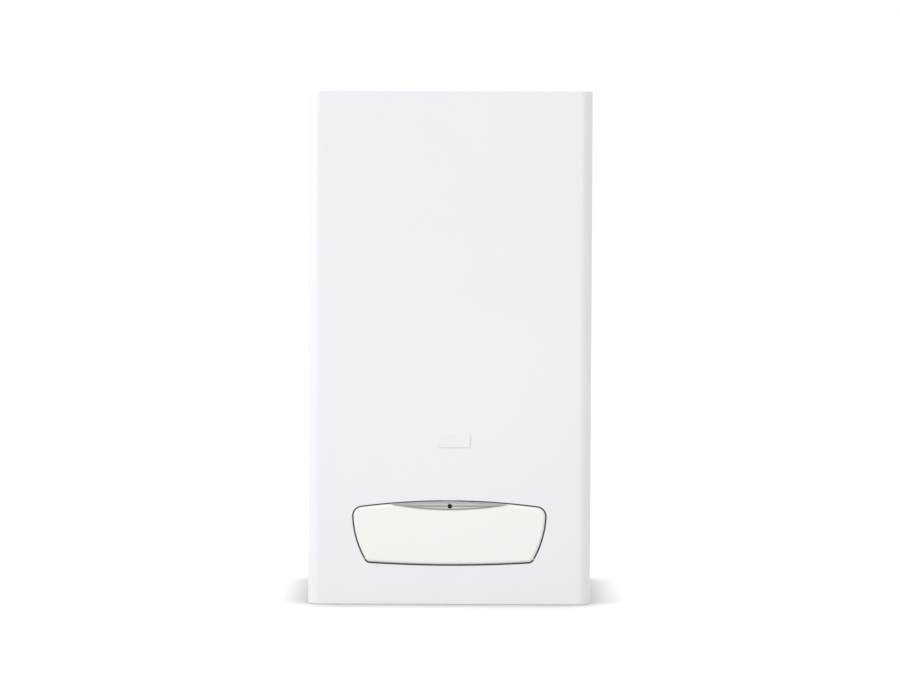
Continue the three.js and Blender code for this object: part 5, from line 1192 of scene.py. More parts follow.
def expansion_vessel():
    centre, r, front, back = (0, 590), 150, -98, -16
    seam = (front + back) / 2
    profile = [(0, front), (60, front + 0.6), (r * 0.7, front + 2), (r * 0.92, front + 10), (r, front + 26),
               (r, seam - 3), (r + 4, seam - 2.4), (r + 4, seam + 2.4), (r, seam + 3), (r, back - 26),
               (r * 0.92, back - 10), (r * 0.7, back - 2), (60, back - 0.6), (0, back)]
    drum = smooth_turned("y", profile, centre, 5, 96)
    piece("vessel_drum", drum, RED_PAINT, "red_paint", "chassis", "expansion_vessel")
    low = together(rod("z", 8, (434, 450), (0, seam), 0.5), union_nut("z", 22, (425.6, 438), (0, seam)))
    boss = rod("y", 20, (back - 3, -12.2), centre, 1)
    valve_at = (60, 652)
    valve = [rod("y", 4, (front - 9, front + 2), valve_at, 0.6, 24), nut("y", 11, (front - 2.4, front + 1.5), valve_at)]
    piece("vessel_fittings", together(low, boss, *valve), BRIGHT_STEEL, "steel", "chassis")
    lug = box((4.6, 5.4), (-0.4, 0.4), (front - 12.5, front - 5), 0.25)
    cap = together(rod("y", 5, (front - 14, front - 4), valve_at, 0.9, 24),
                   round_about("y", valve_at, lug, 18, BLACK_NYLON))
    piece("vessel_valve_cap", cap, BLACK_NYLON, "dark_plastic", "chassis")
    pipe_line = pipe([(0, seam, 425.3), (0, seam, 234), (100, PIPE_Y, 234), (100, PIPE_Y, 205.3)], 5, 16, 24)
    piece("vessel_tube", pipe_line, COPPER, "copper", "chassis", "vessel_pipe")


def copper_pipes():
    x, y = FLOW_DROP
    flow = pipe([(-PORT_X - 0.3, TUBE_Y[0], TUBE_LEVEL), (x, y, TUBE_LEVEL), (x, y, 362), (x, PIPE_Y, 362),
                 (x, PIPE_Y, 160.3)], 9, 18, 28)
    piece("flow_tube", flow, COPPER, "copper", "chassis", "heating_flow_pipe")
    x, y = RETURN_RISE
    back = pipe([(PUMP[0], PIPE_Y, 225.3), (PUMP[0], PIPE_Y, 310), (x, y, 345), (x, y, TUBE_LEVEL),
                 (PORT_X + 0.3, y, TUBE_LEVEL)], 9, 15, 28)
    piece("return_tube", back, COPPER, "copper", "chassis", "heating_return_pipe")
    x, y = GAS_RISE
    gas = pipe([(0, -150, 300.3), (0, -150, 345), (x, y, 345), (x, y, 425.7)], 8, 18, 28)
    piece("burner_tube", gas, COPPER, "copper", "chassis", "gas_burner_pipe")


# ---- Brass castings ----
THREAD_END, THREAD_PITCH = 8, 1.81


def threaded_stub(x, radius, bore):
    """A connection below the tray: a bored tail with a thread, and a hexagon shoulder on top of the tray."""
    root = radius - 1.16
    tail = [(0, 24), (bore, 24), (bore, THREAD_END + 0.8), (bore + 0.8, THREAD_END), (root - 0.8, THREAD_END),
            (root, THREAD_END + 0.8), (root, TRAY_TOP + 3), (0, TRAY_TOP + 3)]
    core = turned("z", tail, (x, PIPE_Y), 48)
    start = THREAD_END + 1
    ridge = turned("z", [(root - 0.3, start), (root, start), (radius, start + 0.75), (radius, start + 0.95),
                         (root, start + 1.7), (root - 0.3, start + 1.7)], (x, PIPE_Y), 48, looped=True)
    ridges = row(ridge, int((TRAY_TOP - 4 - start) / THREAD_PITCH), (0, 0, THREAD_PITCH), BRASS)
    shoulder = nut("z", (radius + 3.6) * 1.732, (TRAY_TOP + 0.4, TRAY_TOP + 8), (x, PIPE_Y), 0.3)
    return [core, ridges, shoulder]


def port_arms(x, radius):
    """A casting's two arms that reach back to the plate exchanger."""
    return [rod("y", r, (PIPE_Y - 2, EXCHANGER_FRONT - 0.4), (x, z)) for z, r in
            ((HOT_PORT, radius), (HEATING_PORT, radius + 0.5))]


def seals_on(x):
    return [rod("y", 11.5, (EXCHANGER_FRONT - 3.4, EXCHANGER_FRONT - 0.35), (x, z), 0.8, 32)
            for z in (HOT_PORT, HEATING_PORT)]


def flow_casting():
    y = PIPE_Y
    column = rod("z", 13.4, (TRAY_TOP + 6, 176), (-130, y))
    hot = rod("z", 10.8, (TRAY_TOP + 6, 124), (-65, y))
    rest = [hot, rod("z", 20.6, (168, 183.4), (-130, y)),
            box((-130, -65), (y - 5, y + 5), (61, 83)), rod("x", 10.8, (-130, -55), (y, HEATING_PORT)),
            rod("x", 10.8, (-188, -130), (y, 135)), rod("z", 11, (130, 150), (-178, y)),
            rod("y", 11.6, (-104, y), SAFETY), rod("y", 14, (-88, y), SAFETY), *port_arms(-65, 8.8)]
    body = cast(join(column, *rest), 1.3, 5)
    tapping = rod("y", 4.5, (-90, y), (-95, HEATING_PORT), 0.4, 24)
    nuts = [union_nut("z", 22, (146, 159.6), (-178, y)), nut("y", 9, (-89.9, -84), (-95, HEATING_PORT)),
            nut("x", 19, (-191, -184), (y, 135)), nut("x", 19, (-57, -50), (y, HEATING_PORT)),
            nut("z", 38, (176, 182.6), (-130, y))]
    made = together(body, tapping, *nuts, *seals_on(-65), *threaded_stub(-130, 13.2, 9),
                    *threaded_stub(-65, 10.5, 6.5))
    piece("flow_casting", made, BRASS, "brass", "chassis", "flow_manifold")


def return_casting():
    y, centre = PIPE_Y, PUMP
    volute = smooth_turned("y", [(0, -100), (45, -100), (45, -90), (43, -62), (34, -54), (0, -54)], centre, 4)
    rest = [rod("z", 13.4, (TRAY_TOP + 6, 120), (130, y)), rod("z", 10.8, (TRAY_TOP + 6, 124), (65, y)),
            rod("x", 10.8, (55, 95), (y, HEATING_PORT)), rod("z", 11.5, (180, 224), (130, y)),
            rod("z", 7.8, (172, 200), (100, y)), rod("z", 7.8, (172, 189), (160, y)),
            rod("x", 7.8, (65, 130), (y, 66)), rod("z", 9.6, (TRAY_TOP + 3, 66), (FILLING_X, y)), *port_arms(65, 8.8)]
    body = cast(join(volute, *rest), 1.3, 5)
    body = cut(body, rod("y", 38, (-104, -62), centre, steps=64), rod("z", 3.6, (TRAY_TOP, 57), (FILLING_X, y)))
    nuts = [union_nut("z", 22, (211, 224.7), (130, y)), union_nut("z", 15, (193, 204.8), (100, y)),
            nut("z", 16, (182, 190), (160, y)), nut("x", 19, (48, 55), (y, HEATING_PORT))]
    ears = [rod("y", 6.5, (-100, -88), at, 0.8, 24) for at in spots_round(PUMP, PUMP_SCREWS, 4)]
    made = together(body, *nuts, *ears, *seals_on(65), *threaded_stub(130, 13.2, 9), *threaded_stub(65, 10.5, 6.5))
    piece("return_casting", made, BRASS, "brass", "chassis", "return_manifold")


# ---- Pump ----
def pump():
    face, centre = -100.3, PUMP
    can = smooth_turned("y", [(0, face), (43.6, face), (43.6, face - 6), (37, face - 8), (36.4, face - 83),
                              (32, face - 89.6), (10.5, face - 90), (0, face - 90)], centre, 1.6)
    rib = box((35, 38), (-0.9, 0.9), (face - 80, face - 10), 0.7)
    ribs = round_about("y", centre, rib, 40, CAST_ALUMINIUM)
    made = together(cut(can, rod("y", 4.6, (-134, -99), centre)), ribs)
    piece("pump_can", made, CAST_ALUMINIUM, "cast_aluminium", "chassis", "pump_motor")
    x, z = centre
    case = slab(rounded([(x - 26, z + 31), (x + 26, z + 31), (x + 26, z + 53), (x + 20, z + 56), (x - 20, z + 56),
                         (x - 26, z + 53)], 2.5), "y", (-172, -116), 1.6)
    lid = slab(rounded([(x - 24, z + 34), (x + 24, z + 34), (x + 24, z + 52), (x + 19, z + 54), (x - 19, z + 54),
                        (x - 24, z + 52)], 2), "y", (-173.6, -171.4), 0.6)
    gland = rod("x", 6, (x - 34, x - 25), (-146, z + 43), 1.2, 28)
    ring_round = nut("x", 14, (x - 31, x - 26.4), (-146, z + 43))
    piece("pump_terminals", together(case, lid, gland, ring_round), BLACK_NYLON, "dark_plastic", "chassis")
    plug = together(nut("y", 18, (face - 92.6, face - 89.6), centre),
                    cut(rod("y", 7.4, (face - 95, face - 92), centre, 0.5),
                        box((x - 9, x + 9), (face - 96, face - 93.6), (z - 0.8, z + 0.8))))
    piece("pump_bleed_plug", plug, BRASS, "brass", "chassis")
    ends = spots_round(centre, PUMP_SCREWS, 4)
    spacers = [rod("y", 5.4, (face - 6.3, face), at, 0.5, 24) for at in ends]
    caps = set_on([(u, face - 6.3, v) for u, v in ends], "-y", socket_head(), 21)
    lid_screws = set_on([(x + dx, -173.6, z + 44) for dx in (-18, 18)], "-y", pan_head(2.8, 1.4), 22)
    piece("pump_screws", together(caps, lid_screws, *spacers), BRIGHT_STEEL, "steel", "chassis")


def socket_head(radius=4.4, height=5):
    """A cap screw with a hexagon socket, facing up."""
    return cut(rod("z", radius, (-1, height), (0, 0), 0.5, 28), slab(arc((0, 0), 2.6, 0, TAU * 5 / 6, 5), "z",
                                                                     (height - 2.6, height + 1)))


def scalloped(centre, radius, lobes, depth):
    """A hand knob's outline: round, with a finger hollow between each two lobes."""
    out, steps = [], 14
    for k in range(lobes * steps):
        t = TAU * k / (lobes * steps)
        r = radius - depth * (0.5 - 0.5 * math.cos(lobes * t)) ** 2.2
        out.append((centre[0] + r * math.cos(t), centre[1] + r * math.sin(t)))
    return out


def small_brass():
    y, z = SAFETY_Y, SAFETY[1]
    body = smooth_turned("y", [(0, -150), (12, -150), (13, -147), (13, -124), (13, -105.3), (0, -105.3)], SAFETY, 0.6)
    hexagon = nut("y", 27, (-122, -110), SAFETY, 0.2)
    outlet = turned("z", [(0, 30), (5.5, 30), (5.5, 14.6), (6.2, 14), (7.4, 14), (8, 14.8), (8, z), (0, z)],
                    (-130, y), 40)
    collar = nut("z", 19, (50, 58), (-130, y), 0.3)
    piece("safety_valve_body", together(body, hexagon, outlet, collar), BRASS, "brass", "chassis", "safety_valve")
    knob = slab(scalloped(SAFETY, 15, 6, 2.6), "y", (-172, -150.5), 1.8)
    dish = rod("y", 9, (-173, -170.6), SAFETY, 0.4)
    hub = rod("y", 4, (-171.8, -169), SAFETY, 0.6, 28)
    piece("safety_knob", join(cut(knob, dish), hub), RED_NYLON, "red_plastic", "safety_knob_body", "safety_valve_knob")
    tap = slab(scalloped((FILLING_X, PIPE_Y), 12.5, 7, 1.8), "z", (15, 31), 1.6)
    dent = rod("z", 7.5, (14, 16.4), (FILLING_X, PIPE_Y), 0.4)
    stem = rod("z", 3, (30, 54), (FILLING_X, PIPE_Y), 0.4, 24)
    piece("filling_tap_knob", join(cut(tap, dent), stem), BLUE_NYLON, "blue_plastic", "filling_knob_body",
          "filling_knob")
    at = (VENT_X, PIPE_Y)
    profile = [(0, 190.3), (6, 190.3), (6, 198), (13.6, 200), (13.6, 241), (10.5, 246), (0, 246)]
    vent = smooth_turned("z", profile, at, 1.2)
    flats = nut("z", 21, (197, 203), at)
    stalk = rod("z", 3.4, (245, 250), at, 0.3, 24)
    piece("vent_body", together(vent, flats, stalk), BRASS, "brass", "chassis", "air_vent")
    lug = box((4.5, 5.3), (-0.4, 0.4), (247.6, 253.4), 0.25)
    cap = together(rod("z", 4.9, (247, 254), at, 0.8, 28), round_about("z", at, lug, 18, BLACK_NYLON))
    piece("vent_cap", cap, BLACK_NYLON, "dark_plastic", "chassis")


def plate_exchanger():
    low, high = reach("plate_heat_exchanger")

    def outline(back):
        return rounded(rectangle((low.x + back, high.x - back), (low.z + back, high.z - back)), 12 - back, 6)
    pitch, count = 2.3, 15
    tray = loft([[(x, low.y + y, z) for x, z in outline(back)]
                 for y, back in ((1.2, 1.8), (2.9, 0.1), (3.3, 0), (3.3, 0.9), (3.1, 2.4))])
    trays = row(tray, count - 1, (0, pitch, 0), STAINLESS)
    core = slab(outline(2.6), "y", (low.y + 1, high.y - 0.5))
    cover = slab(outline(0.6), "y", (low.y, low.y + 1.6), 0.4)
    rear = slab(outline(0.6), "y", (high.y - 1.6, high.y), 0.4)
    beads = [bead((x, low.z + 24), (x, high.z - 24), low.y, 5, 1.2, -1) for x in (-30, 0, 30)]
    piece("plate_stack", together(join(cover, *beads), trays, core, rear), STAINLESS, "stainless", "chassis",
          "plate_heat_exchanger")
    clips = both_sides((86, 99.5), (low.y - 1.6, high.y + 1), (128, 138), 0.8)
    piece("plate_stack_clips", together(*clips), ZINC, "galvanised", "chassis")


def diverter():
    x, y = -130, PIPE_Y
    outline = rounded([(x - 22, y - 20), (x - 16, y - 26), (x + 16, y - 26), (x + 22, y - 20), (x + 22, y + 22),
                       (x - 22, y + 22)], 3)
    lower, upper = slab(outline, "z", (188, 213.5), 1), slab(outline, "z", (213.5, 240), 1.8)
    waist = slab(inset(outline, 1), "z", (212, 215))
    collar = rod("z", 18.8, (184.3, 189), (x, y), 0.6)
    plug = box((x - 9, x + 9), (y - 38, y - 24), (194, 210), 1)
    key = box((x - 4, x + 4), (y - 33, y - 27), (209, 212), 0.6)
    ribs = row(box((x - 14.5, x - 12.5), (y - 20, y + 16), (239.5, 240.9), 0.4), 7, (4.5, 0, 0), BLACK_NYLON)
    piece("diverter_case", together(lower, upper, waist, collar, plug, key, ribs), BLACK_NYLON, "dark_plastic",
          "chassis", "diverter_motor")
    places = [(x + dx, y + dy, 239) for dx, dy in ((-17, -15), (17, -15), (-17, 17), (17, 17))]
    wire = pipe([(x - 24, y + 10, 186.5), (x - 24, y - 12, 186.5), (x - 16, y - 22.5, 186.5), (x + 16, y - 22.5, 186.5),
                 (x + 24, y - 12, 186.5), (x + 24, y + 10, 186.5)], 1.2, 4, 12)
    made = together(set_on(places, "z", pan_head(2.8, 1.6), 23), wire)
    piece("diverter_clip", made, BRIGHT_STEEL, "steel", "chassis")


def cable_gland():
    at = (185, -200)
    dome = turned("z", rounded([(4.6, 20.4), (7.5, 20), (9.5, 20.6), (12.6, 24.5), (12.6, 33), (4.6, 33)], 0.8, 3), at,
                  48, looped=True)
    ridge = box((12.2, 13), (-0.6, 0.6), (24.5, 32.5), 0.3)
    flats = cut(nut("z", 22.5, (33, 39.7), at), rod("z", 4.6, (30, 42), at))
    thread = turned("z", rectangle((4.6, 9), (39, 50)), at, 40, looped=True)
    lock = cut(nut("z", 20.8, (41.8, 46.4), at, 0.4), rod("z", 8.8, (40, 50), at))
    made = together(dome, round_about("z", at, ridge, 16, BLACK_NYLON), flats, thread, lock)
    piece("gland_body", made, BLACK_NYLON, "dark_plastic", "chassis", "cable_gland")
    insert = band("z", (4.2, 6.8), (20.8, 44), at, 0.4, 40)
    piece("gland_insert", insert, RUBBER, "rubber", "chassis")


# ---- Gas ----
def gas_pipe_in():
    run = pipe([(0, PIPE_Y, 52), (0, PIPE_Y, 190), (0, -150, 190), (0, -150, 218.7)], 9, 18, 28)
    piece("gas_tube", run, COPPER, "copper", "chassis", "gas_inlet_pipe")
    tail = together(*threaded_stub(0, 13.2, 9), union_nut("z", 24, (50, 63), (0, PIPE_Y)))
    piece("gas_tail", tail, BRASS, "brass", "chassis")


def gas_valve():
    y = -150
    block = box((-36, 36), (y - 34, y + 34), (232, 288), 2.4)
    pads = [rod("y", 8, (y - 36, y - 33), at, 0.6, 32) for at in ((-20, 240), (28, 282), (-24, 281))]
    ribs = [box((-30 + 12 * k, -27.6 + 12 * k), (y - 20, y + 20), (286, 290), 0.6) for k in range(6) if k not in (2, 3)]
    nuts = [union_nut("z", 24, (219, 232.6), (0, y)), union_nut("z", 24, (287.4, 300), (0, y))]
    tower = smooth_turned("y", [(0, y - 28), (20, y - 28), (20, y - 36), (16, y - 39), (16, y - 60), (14, y - 62),
                                (0, y - 62)], (14, 258), 1.2)
    made = cast(join(block, tower, *pads, *ribs), 1.1, 3)
    piece("gas_valve_block", made, CAST_ALUMINIUM, "cast_aluminium", "chassis", "gas_valve")
    cap = smooth_turned("y", [(0, y - 61), (11, y - 61), (11, y - 66), (9.5, y - 68), (0, y - 68)], (14, 258), 0.7)
    cap = cut(cap, box((13.2, 14.8), (y - 69, y - 66.6), (250, 266)))
    test_points = [together(rod("y", 3.4, (y - 44, y - 35), at, 0.5, 24), nut("y", 9, (y - 39, y - 36), at))
                   for at in ((-20, 240), (28, 282))]
    piece("gas_valve_brass", together(cap, *nuts, *test_points), BRASS, "brass", "chassis")
    coil = box((-59, -35), (y - 21, y + 21), (241, 279), 2)
    bands = row(box((-60, -37), (y - 22, y + 22), (245, 248), 0.8), 5, (0, 0, 6.6), BLACK_NYLON)
    lead_in = box((-32, -10), (y - 46, y - 32), (246, 270), 1.2)
    lock = box((-27, -15), (y - 48, y - 44), (252, 264), 0.8)
    piece("gas_valve_coil", together(coil, bands, lead_in, lock), BLACK_NYLON, "dark_plastic", "chassis")
    corners = [(x, y - 34, z) for x in (-31, 31) for z in (237, 283)][1:]
    piece("gas_valve_screws", set_on(corners, "-y", socket_head(3, 2.4), 24), BRIGHT_STEEL, "steel", "chassis")


# ---- Controls ----
FASCIA_FRONT, FASCIA_BACK, DIAL_LEVEL = -318, -315, 118
KNOB_X = {"mode": -50, "heating": 10, "hot_water": 70}
GAUGE, RESET = (-110, DIAL_LEVEL), (118, 104)

# Screen-printed ink, dark grey and matt.
INK = finish("screen_printed_ink", "#2b2e34", "#363a41", (0.5, 0.6), 6, 0.5, 0.002)
# Enamelled gauge dial and its coloured zones.
DIAL_WHITE = finish("dial_enamel", "#f2f2ee", "#f7f7f4", (0.3, 0.4), 8, 1, 0.002)
ZONE_GREEN = finish("dial_ink_green", "#2f8a4c", "#38955a", (0.45, 0.55), 4, 0.6, 0.001)
ZONE_RED = finish("dial_ink_red", "#bd3226", "#c83c2e", (0.45, 0.55), 4, 0.6, 0.001)


def figures(text, size, x, y, z, thick=0.2):
    """A printed number that faces the front."""
    curve = bpy.data.curves.new("figures", "FONT")
    curve.body, curve.size, curve.align_x, curve.align_y = text, size, "CENTER", "CENTER"
    curve.extrude, curve.resolution_u = thick / 2, 4
    holder = bpy.data.objects.new("figures", curve)
    bpy.context.scene.collection.objects.link(holder)
    graph = bpy.context.evaluated_depsgraph_get()
    made = bpy.data.meshes.new_from_object(holder.evaluated_get(graph), depsgraph=graph)
    bpy.data.objects.remove(holder)
    made.materials.clear()
    made.transform(Matrix.Translation((x, y, z)) @ Matrix.Rotation(math.pi / 2, 4, "X"))
    return closed(made)


def on_dial(centre, radius, degrees):
    """A place on a dial; the angle is clockwise from the top as seen from the front."""
    t = math.radians(90 - degrees)
    return centre[0] + radius * math.cos(t), centre[1] + radius * math.sin(t)


def tick(centre, near, far, degrees, y, wide=0.8):
    half = math.degrees(wide / 2 / far)
    outline = [on_dial(centre, near, degrees - half * far / near), on_dial(centre, far, degrees - half),
               on_dial(centre, far, degrees + half), on_dial(centre, near, degrees + half * far / near)]
    return slab(outline, "y", y)


def control_fascia():
    half, low, high = 172, 52, 182
    panel = slab(rounded(rectangle((-half, half), (low, high)), 6, 5), "y", (FASCIA_FRONT, FASCIA_BACK), 0.9)
    stays = both_sides((half - 14, half - 10), (FASCIA_FRONT + 1, FASCIA_BACK + 20), (92, 108), 0.6)
    holes = [rod("y", 4, (-320, -312), (x, DIAL_LEVEL)) for x in KNOB_X.values()]
    holes += [rod("y", 20.3, (-320, -312), GAUGE, steps=72), rod("y", 5.5, (-320, -312), RESET)]
    dishes = [turned("y", [(0, -320), (21.2, -320), (21.2, -318), (20.4, -317.3), (0, -317.3)], (x, DIAL_LEVEL), 64)
              for x in KNOB_X.values()]
    dishes += [turned("y", [(0, -320), (9.4, -320), (9.4, -318), (8.4, -317), (0, -317)], RESET, 48)]
    line = ring(rounded(rectangle((-166, 166), (58, 176)), 5, 5), rounded(rectangle((-165, 165), (59, 175)), 4.4, 5),
                (-320, FASCIA_FRONT + 0.5))
    made = cut(join(panel, *stays), *holes, *dishes, line)
    piece("control_panel", bevelled(made, 0.2, 2, 40), GREY_ABS, "grey_plastic", "chassis", "control_fascia")
    y, marks = (FASCIA_FRONT - 0.12, FASCIA_FRONT + 0.2), []
    for name in ("heating", "hot_water"):
        centre = (KNOB_X[name], DIAL_LEVEL)
        for k in range(21):
            marks.append(tick(centre, 22.6, 25.2 if k % 5 == 0 else 24, -135 + 13.5 * k, y, 0.7))
        for k in range(5):
            x, z = on_dial(centre, 28.4, -135 + 67.5 * k)
            marks.append(figures(str(k + 1), 4.4, x, FASCIA_FRONT - 0.02, z))
    centre = (KNOB_X["mode"], DIAL_LEVEL)
    for k in range(3):
        marks.append(tick(centre, 22.6, 25.2, -60 + 60 * k, y, 0.9))
        x, z = on_dial(centre, 28.6, -60 + 60 * k)
        marks.append(figures(str(k), 5, x, FASCIA_FRONT - 0.02, z))
    arrow = [on_dial(RESET, r, a) for r, a in
             [(13.4, 60 + 12 * i) for i in range(18)] + [(12.2, 264 - 12 * i) for i in range(18)]]
    head = [on_dial(RESET, 10.6, 264), on_dial(RESET, 12.8, 282), on_dial(RESET, 15, 264)]
    marks += [slab(arrow, "y", y), slab(head, "y", y)]
    piece("panel_marks", together(*marks), INK, "dark_plastic", "chassis")


def knob(name):
    x, back = KNOB_X[name], FASCIA_FRONT - 0.8
    centre = (x, DIAL_LEVEL)
    profile = [(0, back), (18.6, back), (19, back - 0.6), (19, back - 2.3), (16.6, back - 3.4), (15.6, back - 10.8),
               (13.2, back - 12.5), (0, back - 12.5)]
    body = turned("y", rounded(profile, 0.8, 4, looped=False), centre, 72)
    outline = rounded(rectangle((x - 3.2, x + 3.2), (DIAL_LEVEL - 14.5, DIAL_LEVEL + 14.5)), 1.4)
    bar = slab(outline, "y", (back - 15, back - 5), 1)
    shaft = rod("y", 3, (back - 2, -284), centre, 0.3, 24)
    hollow = box((x - 0.8, x + 0.8), (back - 16, back - 14.5), (DIAL_LEVEL + 3.5, DIAL_LEVEL + 13), 0.2)
    grip = bevelled(cut(join(body, bar), hollow), 0.4, 3, 40)
    nub = box((15.9, 16.9), (-0.55, 0.55), (back - 9.6, back - 3.6), 0.35)
    nubs = round_about("y", centre, nub, 36, WHITE_NYLON)
    piece("knob_" + name, together(grip, shaft, nubs), WHITE_NYLON, "white_plastic", name + "_knob_body",
          name + "_knob")
    mark = box((x - 0.7, x + 0.7), (back - 14.95, back - 14.3), (DIAL_LEVEL + 3.6, DIAL_LEVEL + 12.9), 0.15)
    piece("knob_mark_" + name, mark, INK, "dark_plastic", name + "_knob_body")


def knobs():
    for name in KNOB_X:
        knob(name)


def pressure_gauge():
    rim, dial, back = -322.5, -316.5, -290
    can = turned("y", rounded([(0, dial), (18.4, dial), (18.4, rim + 0.6), (18.8, rim), (21, rim), (21.6, rim + 0.7),
                               (21.6, rim + 3), (19.8, rim + 3), (19.8, back), (0, back)], 0.5, 3, looped=False),
                 GAUGE, 72)
    piece("gauge_can", can, BLACK_NYLON, "dark_plastic", "chassis", "pressure_gauge")
    face = rod("y", 18.2, (dial - 0.35, dial + 0.2), GAUGE, 0.1, 64)
    piece("gauge_dial", face, DIAL_WHITE, "white_plastic", "chassis")
    y = (dial - 0.47, dial - 0.3)
    marks = [tick(GAUGE, 14.6 if k % 5 == 0 else 15.6, 17.4, -135 + 18 * k, y, 0.6 if k % 5 == 0 else 0.35)
             for k in range(16)]
    for k in range(4):
        x, z = on_dial(GAUGE, 11.6, -135 + 90 * k)
        marks.append(figures(str(k), 4.2, x, dial - 0.4, z, 0.12))
    piece("gauge_marks", together(*marks), INK, "dark_plastic", "chassis")

    def zone(start, end):
        angles = [start + (end - start) * k / 24 for k in range(25)]
        return slab([on_dial(GAUGE, 14.2, a) for a in angles] + [on_dial(GAUGE, 13.2, a) for a in reversed(angles)],
                    "y", (dial - 0.42, dial - 0.3))
    piece("gauge_zone_green", zone(-45, 10), ZONE_GREEN, "board", "chassis")
    piece("gauge_zone_red", zone(108, 135), ZONE_RED, "red_plastic", "chassis")
    fittings = together(rod("y", 0.8, (dial - 2.6, dial), GAUGE, 0.2, 16), nut("y", 9.4, (back, back + 8), GAUGE),
                        rod("y", 3.4, (back + 7, back + 16), GAUGE, 0.6, 24))
    piece("gauge_fittings", fittings, BRASS, "brass", "chassis")
    y = (dial - 2, dial - 1)
    x, z = GAUGE
    hand = slab(rounded([(x - 1.5, z - 6.4), (x + 1.5, z - 6.4), (x + 0.35, z + 14.6), (x - 0.35, z + 14.6)], 0.3, 2),
                "y", y, 0.15)
    hand = cut(join(hand, rod("y", 2.6, y, GAUGE, 0.25, 32)), rod("y", 1.15, (y[0] - 1, y[1] + 1), GAUGE))
    piece("gauge_hand", hand, RED_NYLON, "red_plastic", "needle_body", "gauge_needle")
    window = smooth_turned("y", [(0, rim - 0.1), (12, rim + 0.05), (18, rim + 0.45), (18, rim + 1.8), (0, rim + 1.8)],
                           GAUGE, 0.3, 64)
    piece("gauge_window", window, CLEAR, "clear_glass", "chassis", "gauge_glass")
    line = pipe([(x, back + 16.3, z), (x, -205, z), (-95, -205, HEATING_PORT), (-95, -90.3, HEATING_PORT)], 1.2, 8, 14)
    piece("gauge_tube", line, COPPER, "copper", "chassis", "gauge_capillary")


def reset():
    cap = smooth_turned("y", [(0, -322.5), (3.2, -323), (4.9, -323), (5, -322), (5, -312), (0, -312)], RESET, 0.5, 40)
    stem = rod("y", 2.5, (-314, -295.3), RESET, 0.3, 24)
    piece("reset_cap", together(cap, stem), RED_NYLON, "red_plastic", "reset_button_body", "reset_button")


def control_box():
    half, low, high, front, back, wall = 156, 58, 176, FASCIA_BACK + 0.3, -242, 2
    outside = across(half, (front - 6, back), (low, high), 2.4)
    trim = across(half + 5, (front - 12, front), (low - 5, high + 5))
    inside = across(half - wall, (front - 12, back - wall), (low + wall, high - wall), 0.8)
    feet = both_sides((118, 140), (-302, -262), (TRAY_TOP + 0.3, low + 0.5), 0.8)
    holes = [rod("y", 9, (back - 4, back + 1), (x, 150)) for x in (-90, 90)]
    holes += [rod("y", 3, (back - 4, back + 1), GAUGE)]
    vents = row(box((-118, -115.5), (-296, -262), (high - 4, high + 2), 1), 34, (7, 0, 0), BLACK_NYLON)
    beads = row(across(half - 14, (back - 0.4, back + 0.7), (low + 14, low + 16), 0.4), 4, (0, 0, 24), BLACK_NYLON)
    made = cut(join(outside, *feet), trim, inside, *holes, vents)
    piece("board_case", together(bevelled(made, 0.4, 2, 50), beads), BLACK_NYLON, "dark_plastic", "chassis",
          "control_box")
    places = [(x, back, z) for x in (-146, 146) for z in (68, 166)]
    piece("case_screws", set_on(places, "y", pan_head(3.2, 1.8), 31), BRIGHT_STEEL, "steel", "chassis")
    grommets = [turned("y", rounded([(5 if x > 0 else 0.01, back - 3), (11, back - 3), (11, back - 2.2), (9, back - 2),
                                     (9, back), (11, back + 0.2), (11, back + 1.4), (5 if x > 0 else 0.01, back + 1.4)],
                                    0.3, 2), (x, 150), 40, looped=True) for x in (-90, 90)]
    piece("case_grommets", together(*grommets), RUBBER, "rubber", "chassis")


def circuit_board():
    front, half = -282, 145
    board = slab(rounded(rectangle((-half, half), (66, 168)), 3), "y", (front, front + 1.6), 0.2)
    board = cut(board, rod("y", 8, (front - 1, front + 3), GAUGE))
    piece("printed_board", board, SOLDER_MASK, "board", "chassis", "circuit_board")
    y = front + 0.2
    dials = [cut(rod("y", 9, (front - 9, y), (x, DIAL_LEVEL), 0.6), rod("y", 3.6, (front - 10, front - 1.5),
                                                                        (x, DIAL_LEVEL))) for x in KNOB_X.values()]
    case = lambda x, z, deep, edge=0.6: box(x, (front - deep, y), z, edge)
    black = [case((94 + 20 * k, 109 + 20 * k), (138, 158), 15) for k in (0, 1)] + [case((-78, -30), (86, 98), 24)]
    black += [case((40, 62), (150, 157), 3, 0.3), case((-130, -118), (80, 96), 4, 0.3)]
    black += [rod("y", 5, (front - 14, y), (x, z), 0.8, 28) for x, z in ((-10, 80), (3, 80), (132, 90))]
    piece("board_cases", together(*dials, *black), BLACK_NYLON, "dark_plastic", "chassis")
    block = case((20, 84), (70, 82), 12)
    ways = row(box((21.6, 25), (front - 13, front - 10.6), (73, 79), 0.3), 12, (5.1, 0, 0), WHITE_NYLON)
    plugs = [case((-20, 12), (158, 165), 7), case((-64, -40), (158, 165), 7),
             case((RESET[0] - 6, RESET[0] + 6), (RESET[1] - 6, RESET[1] + 6), 10)]
    piece("board_terminals", together(block, ways, *plugs), WHITE_NYLON, "white_plastic", "chassis")
    core = case((-76, -32), (70, 102), 16, 1)
    legs = [rod("y", 3, (front + 1, -244.3), (x, 116), 0.4, 20) for x in (-132, 132)]
    resistor = rod("x", 1.2, (-110, -103), (front - 1.6, 76), 0.4, 16)
    piece("board_metal", together(core, row(resistor, 7, (0, 0, 4), ZINC), *legs), ZINC, "galvanised", "chassis")


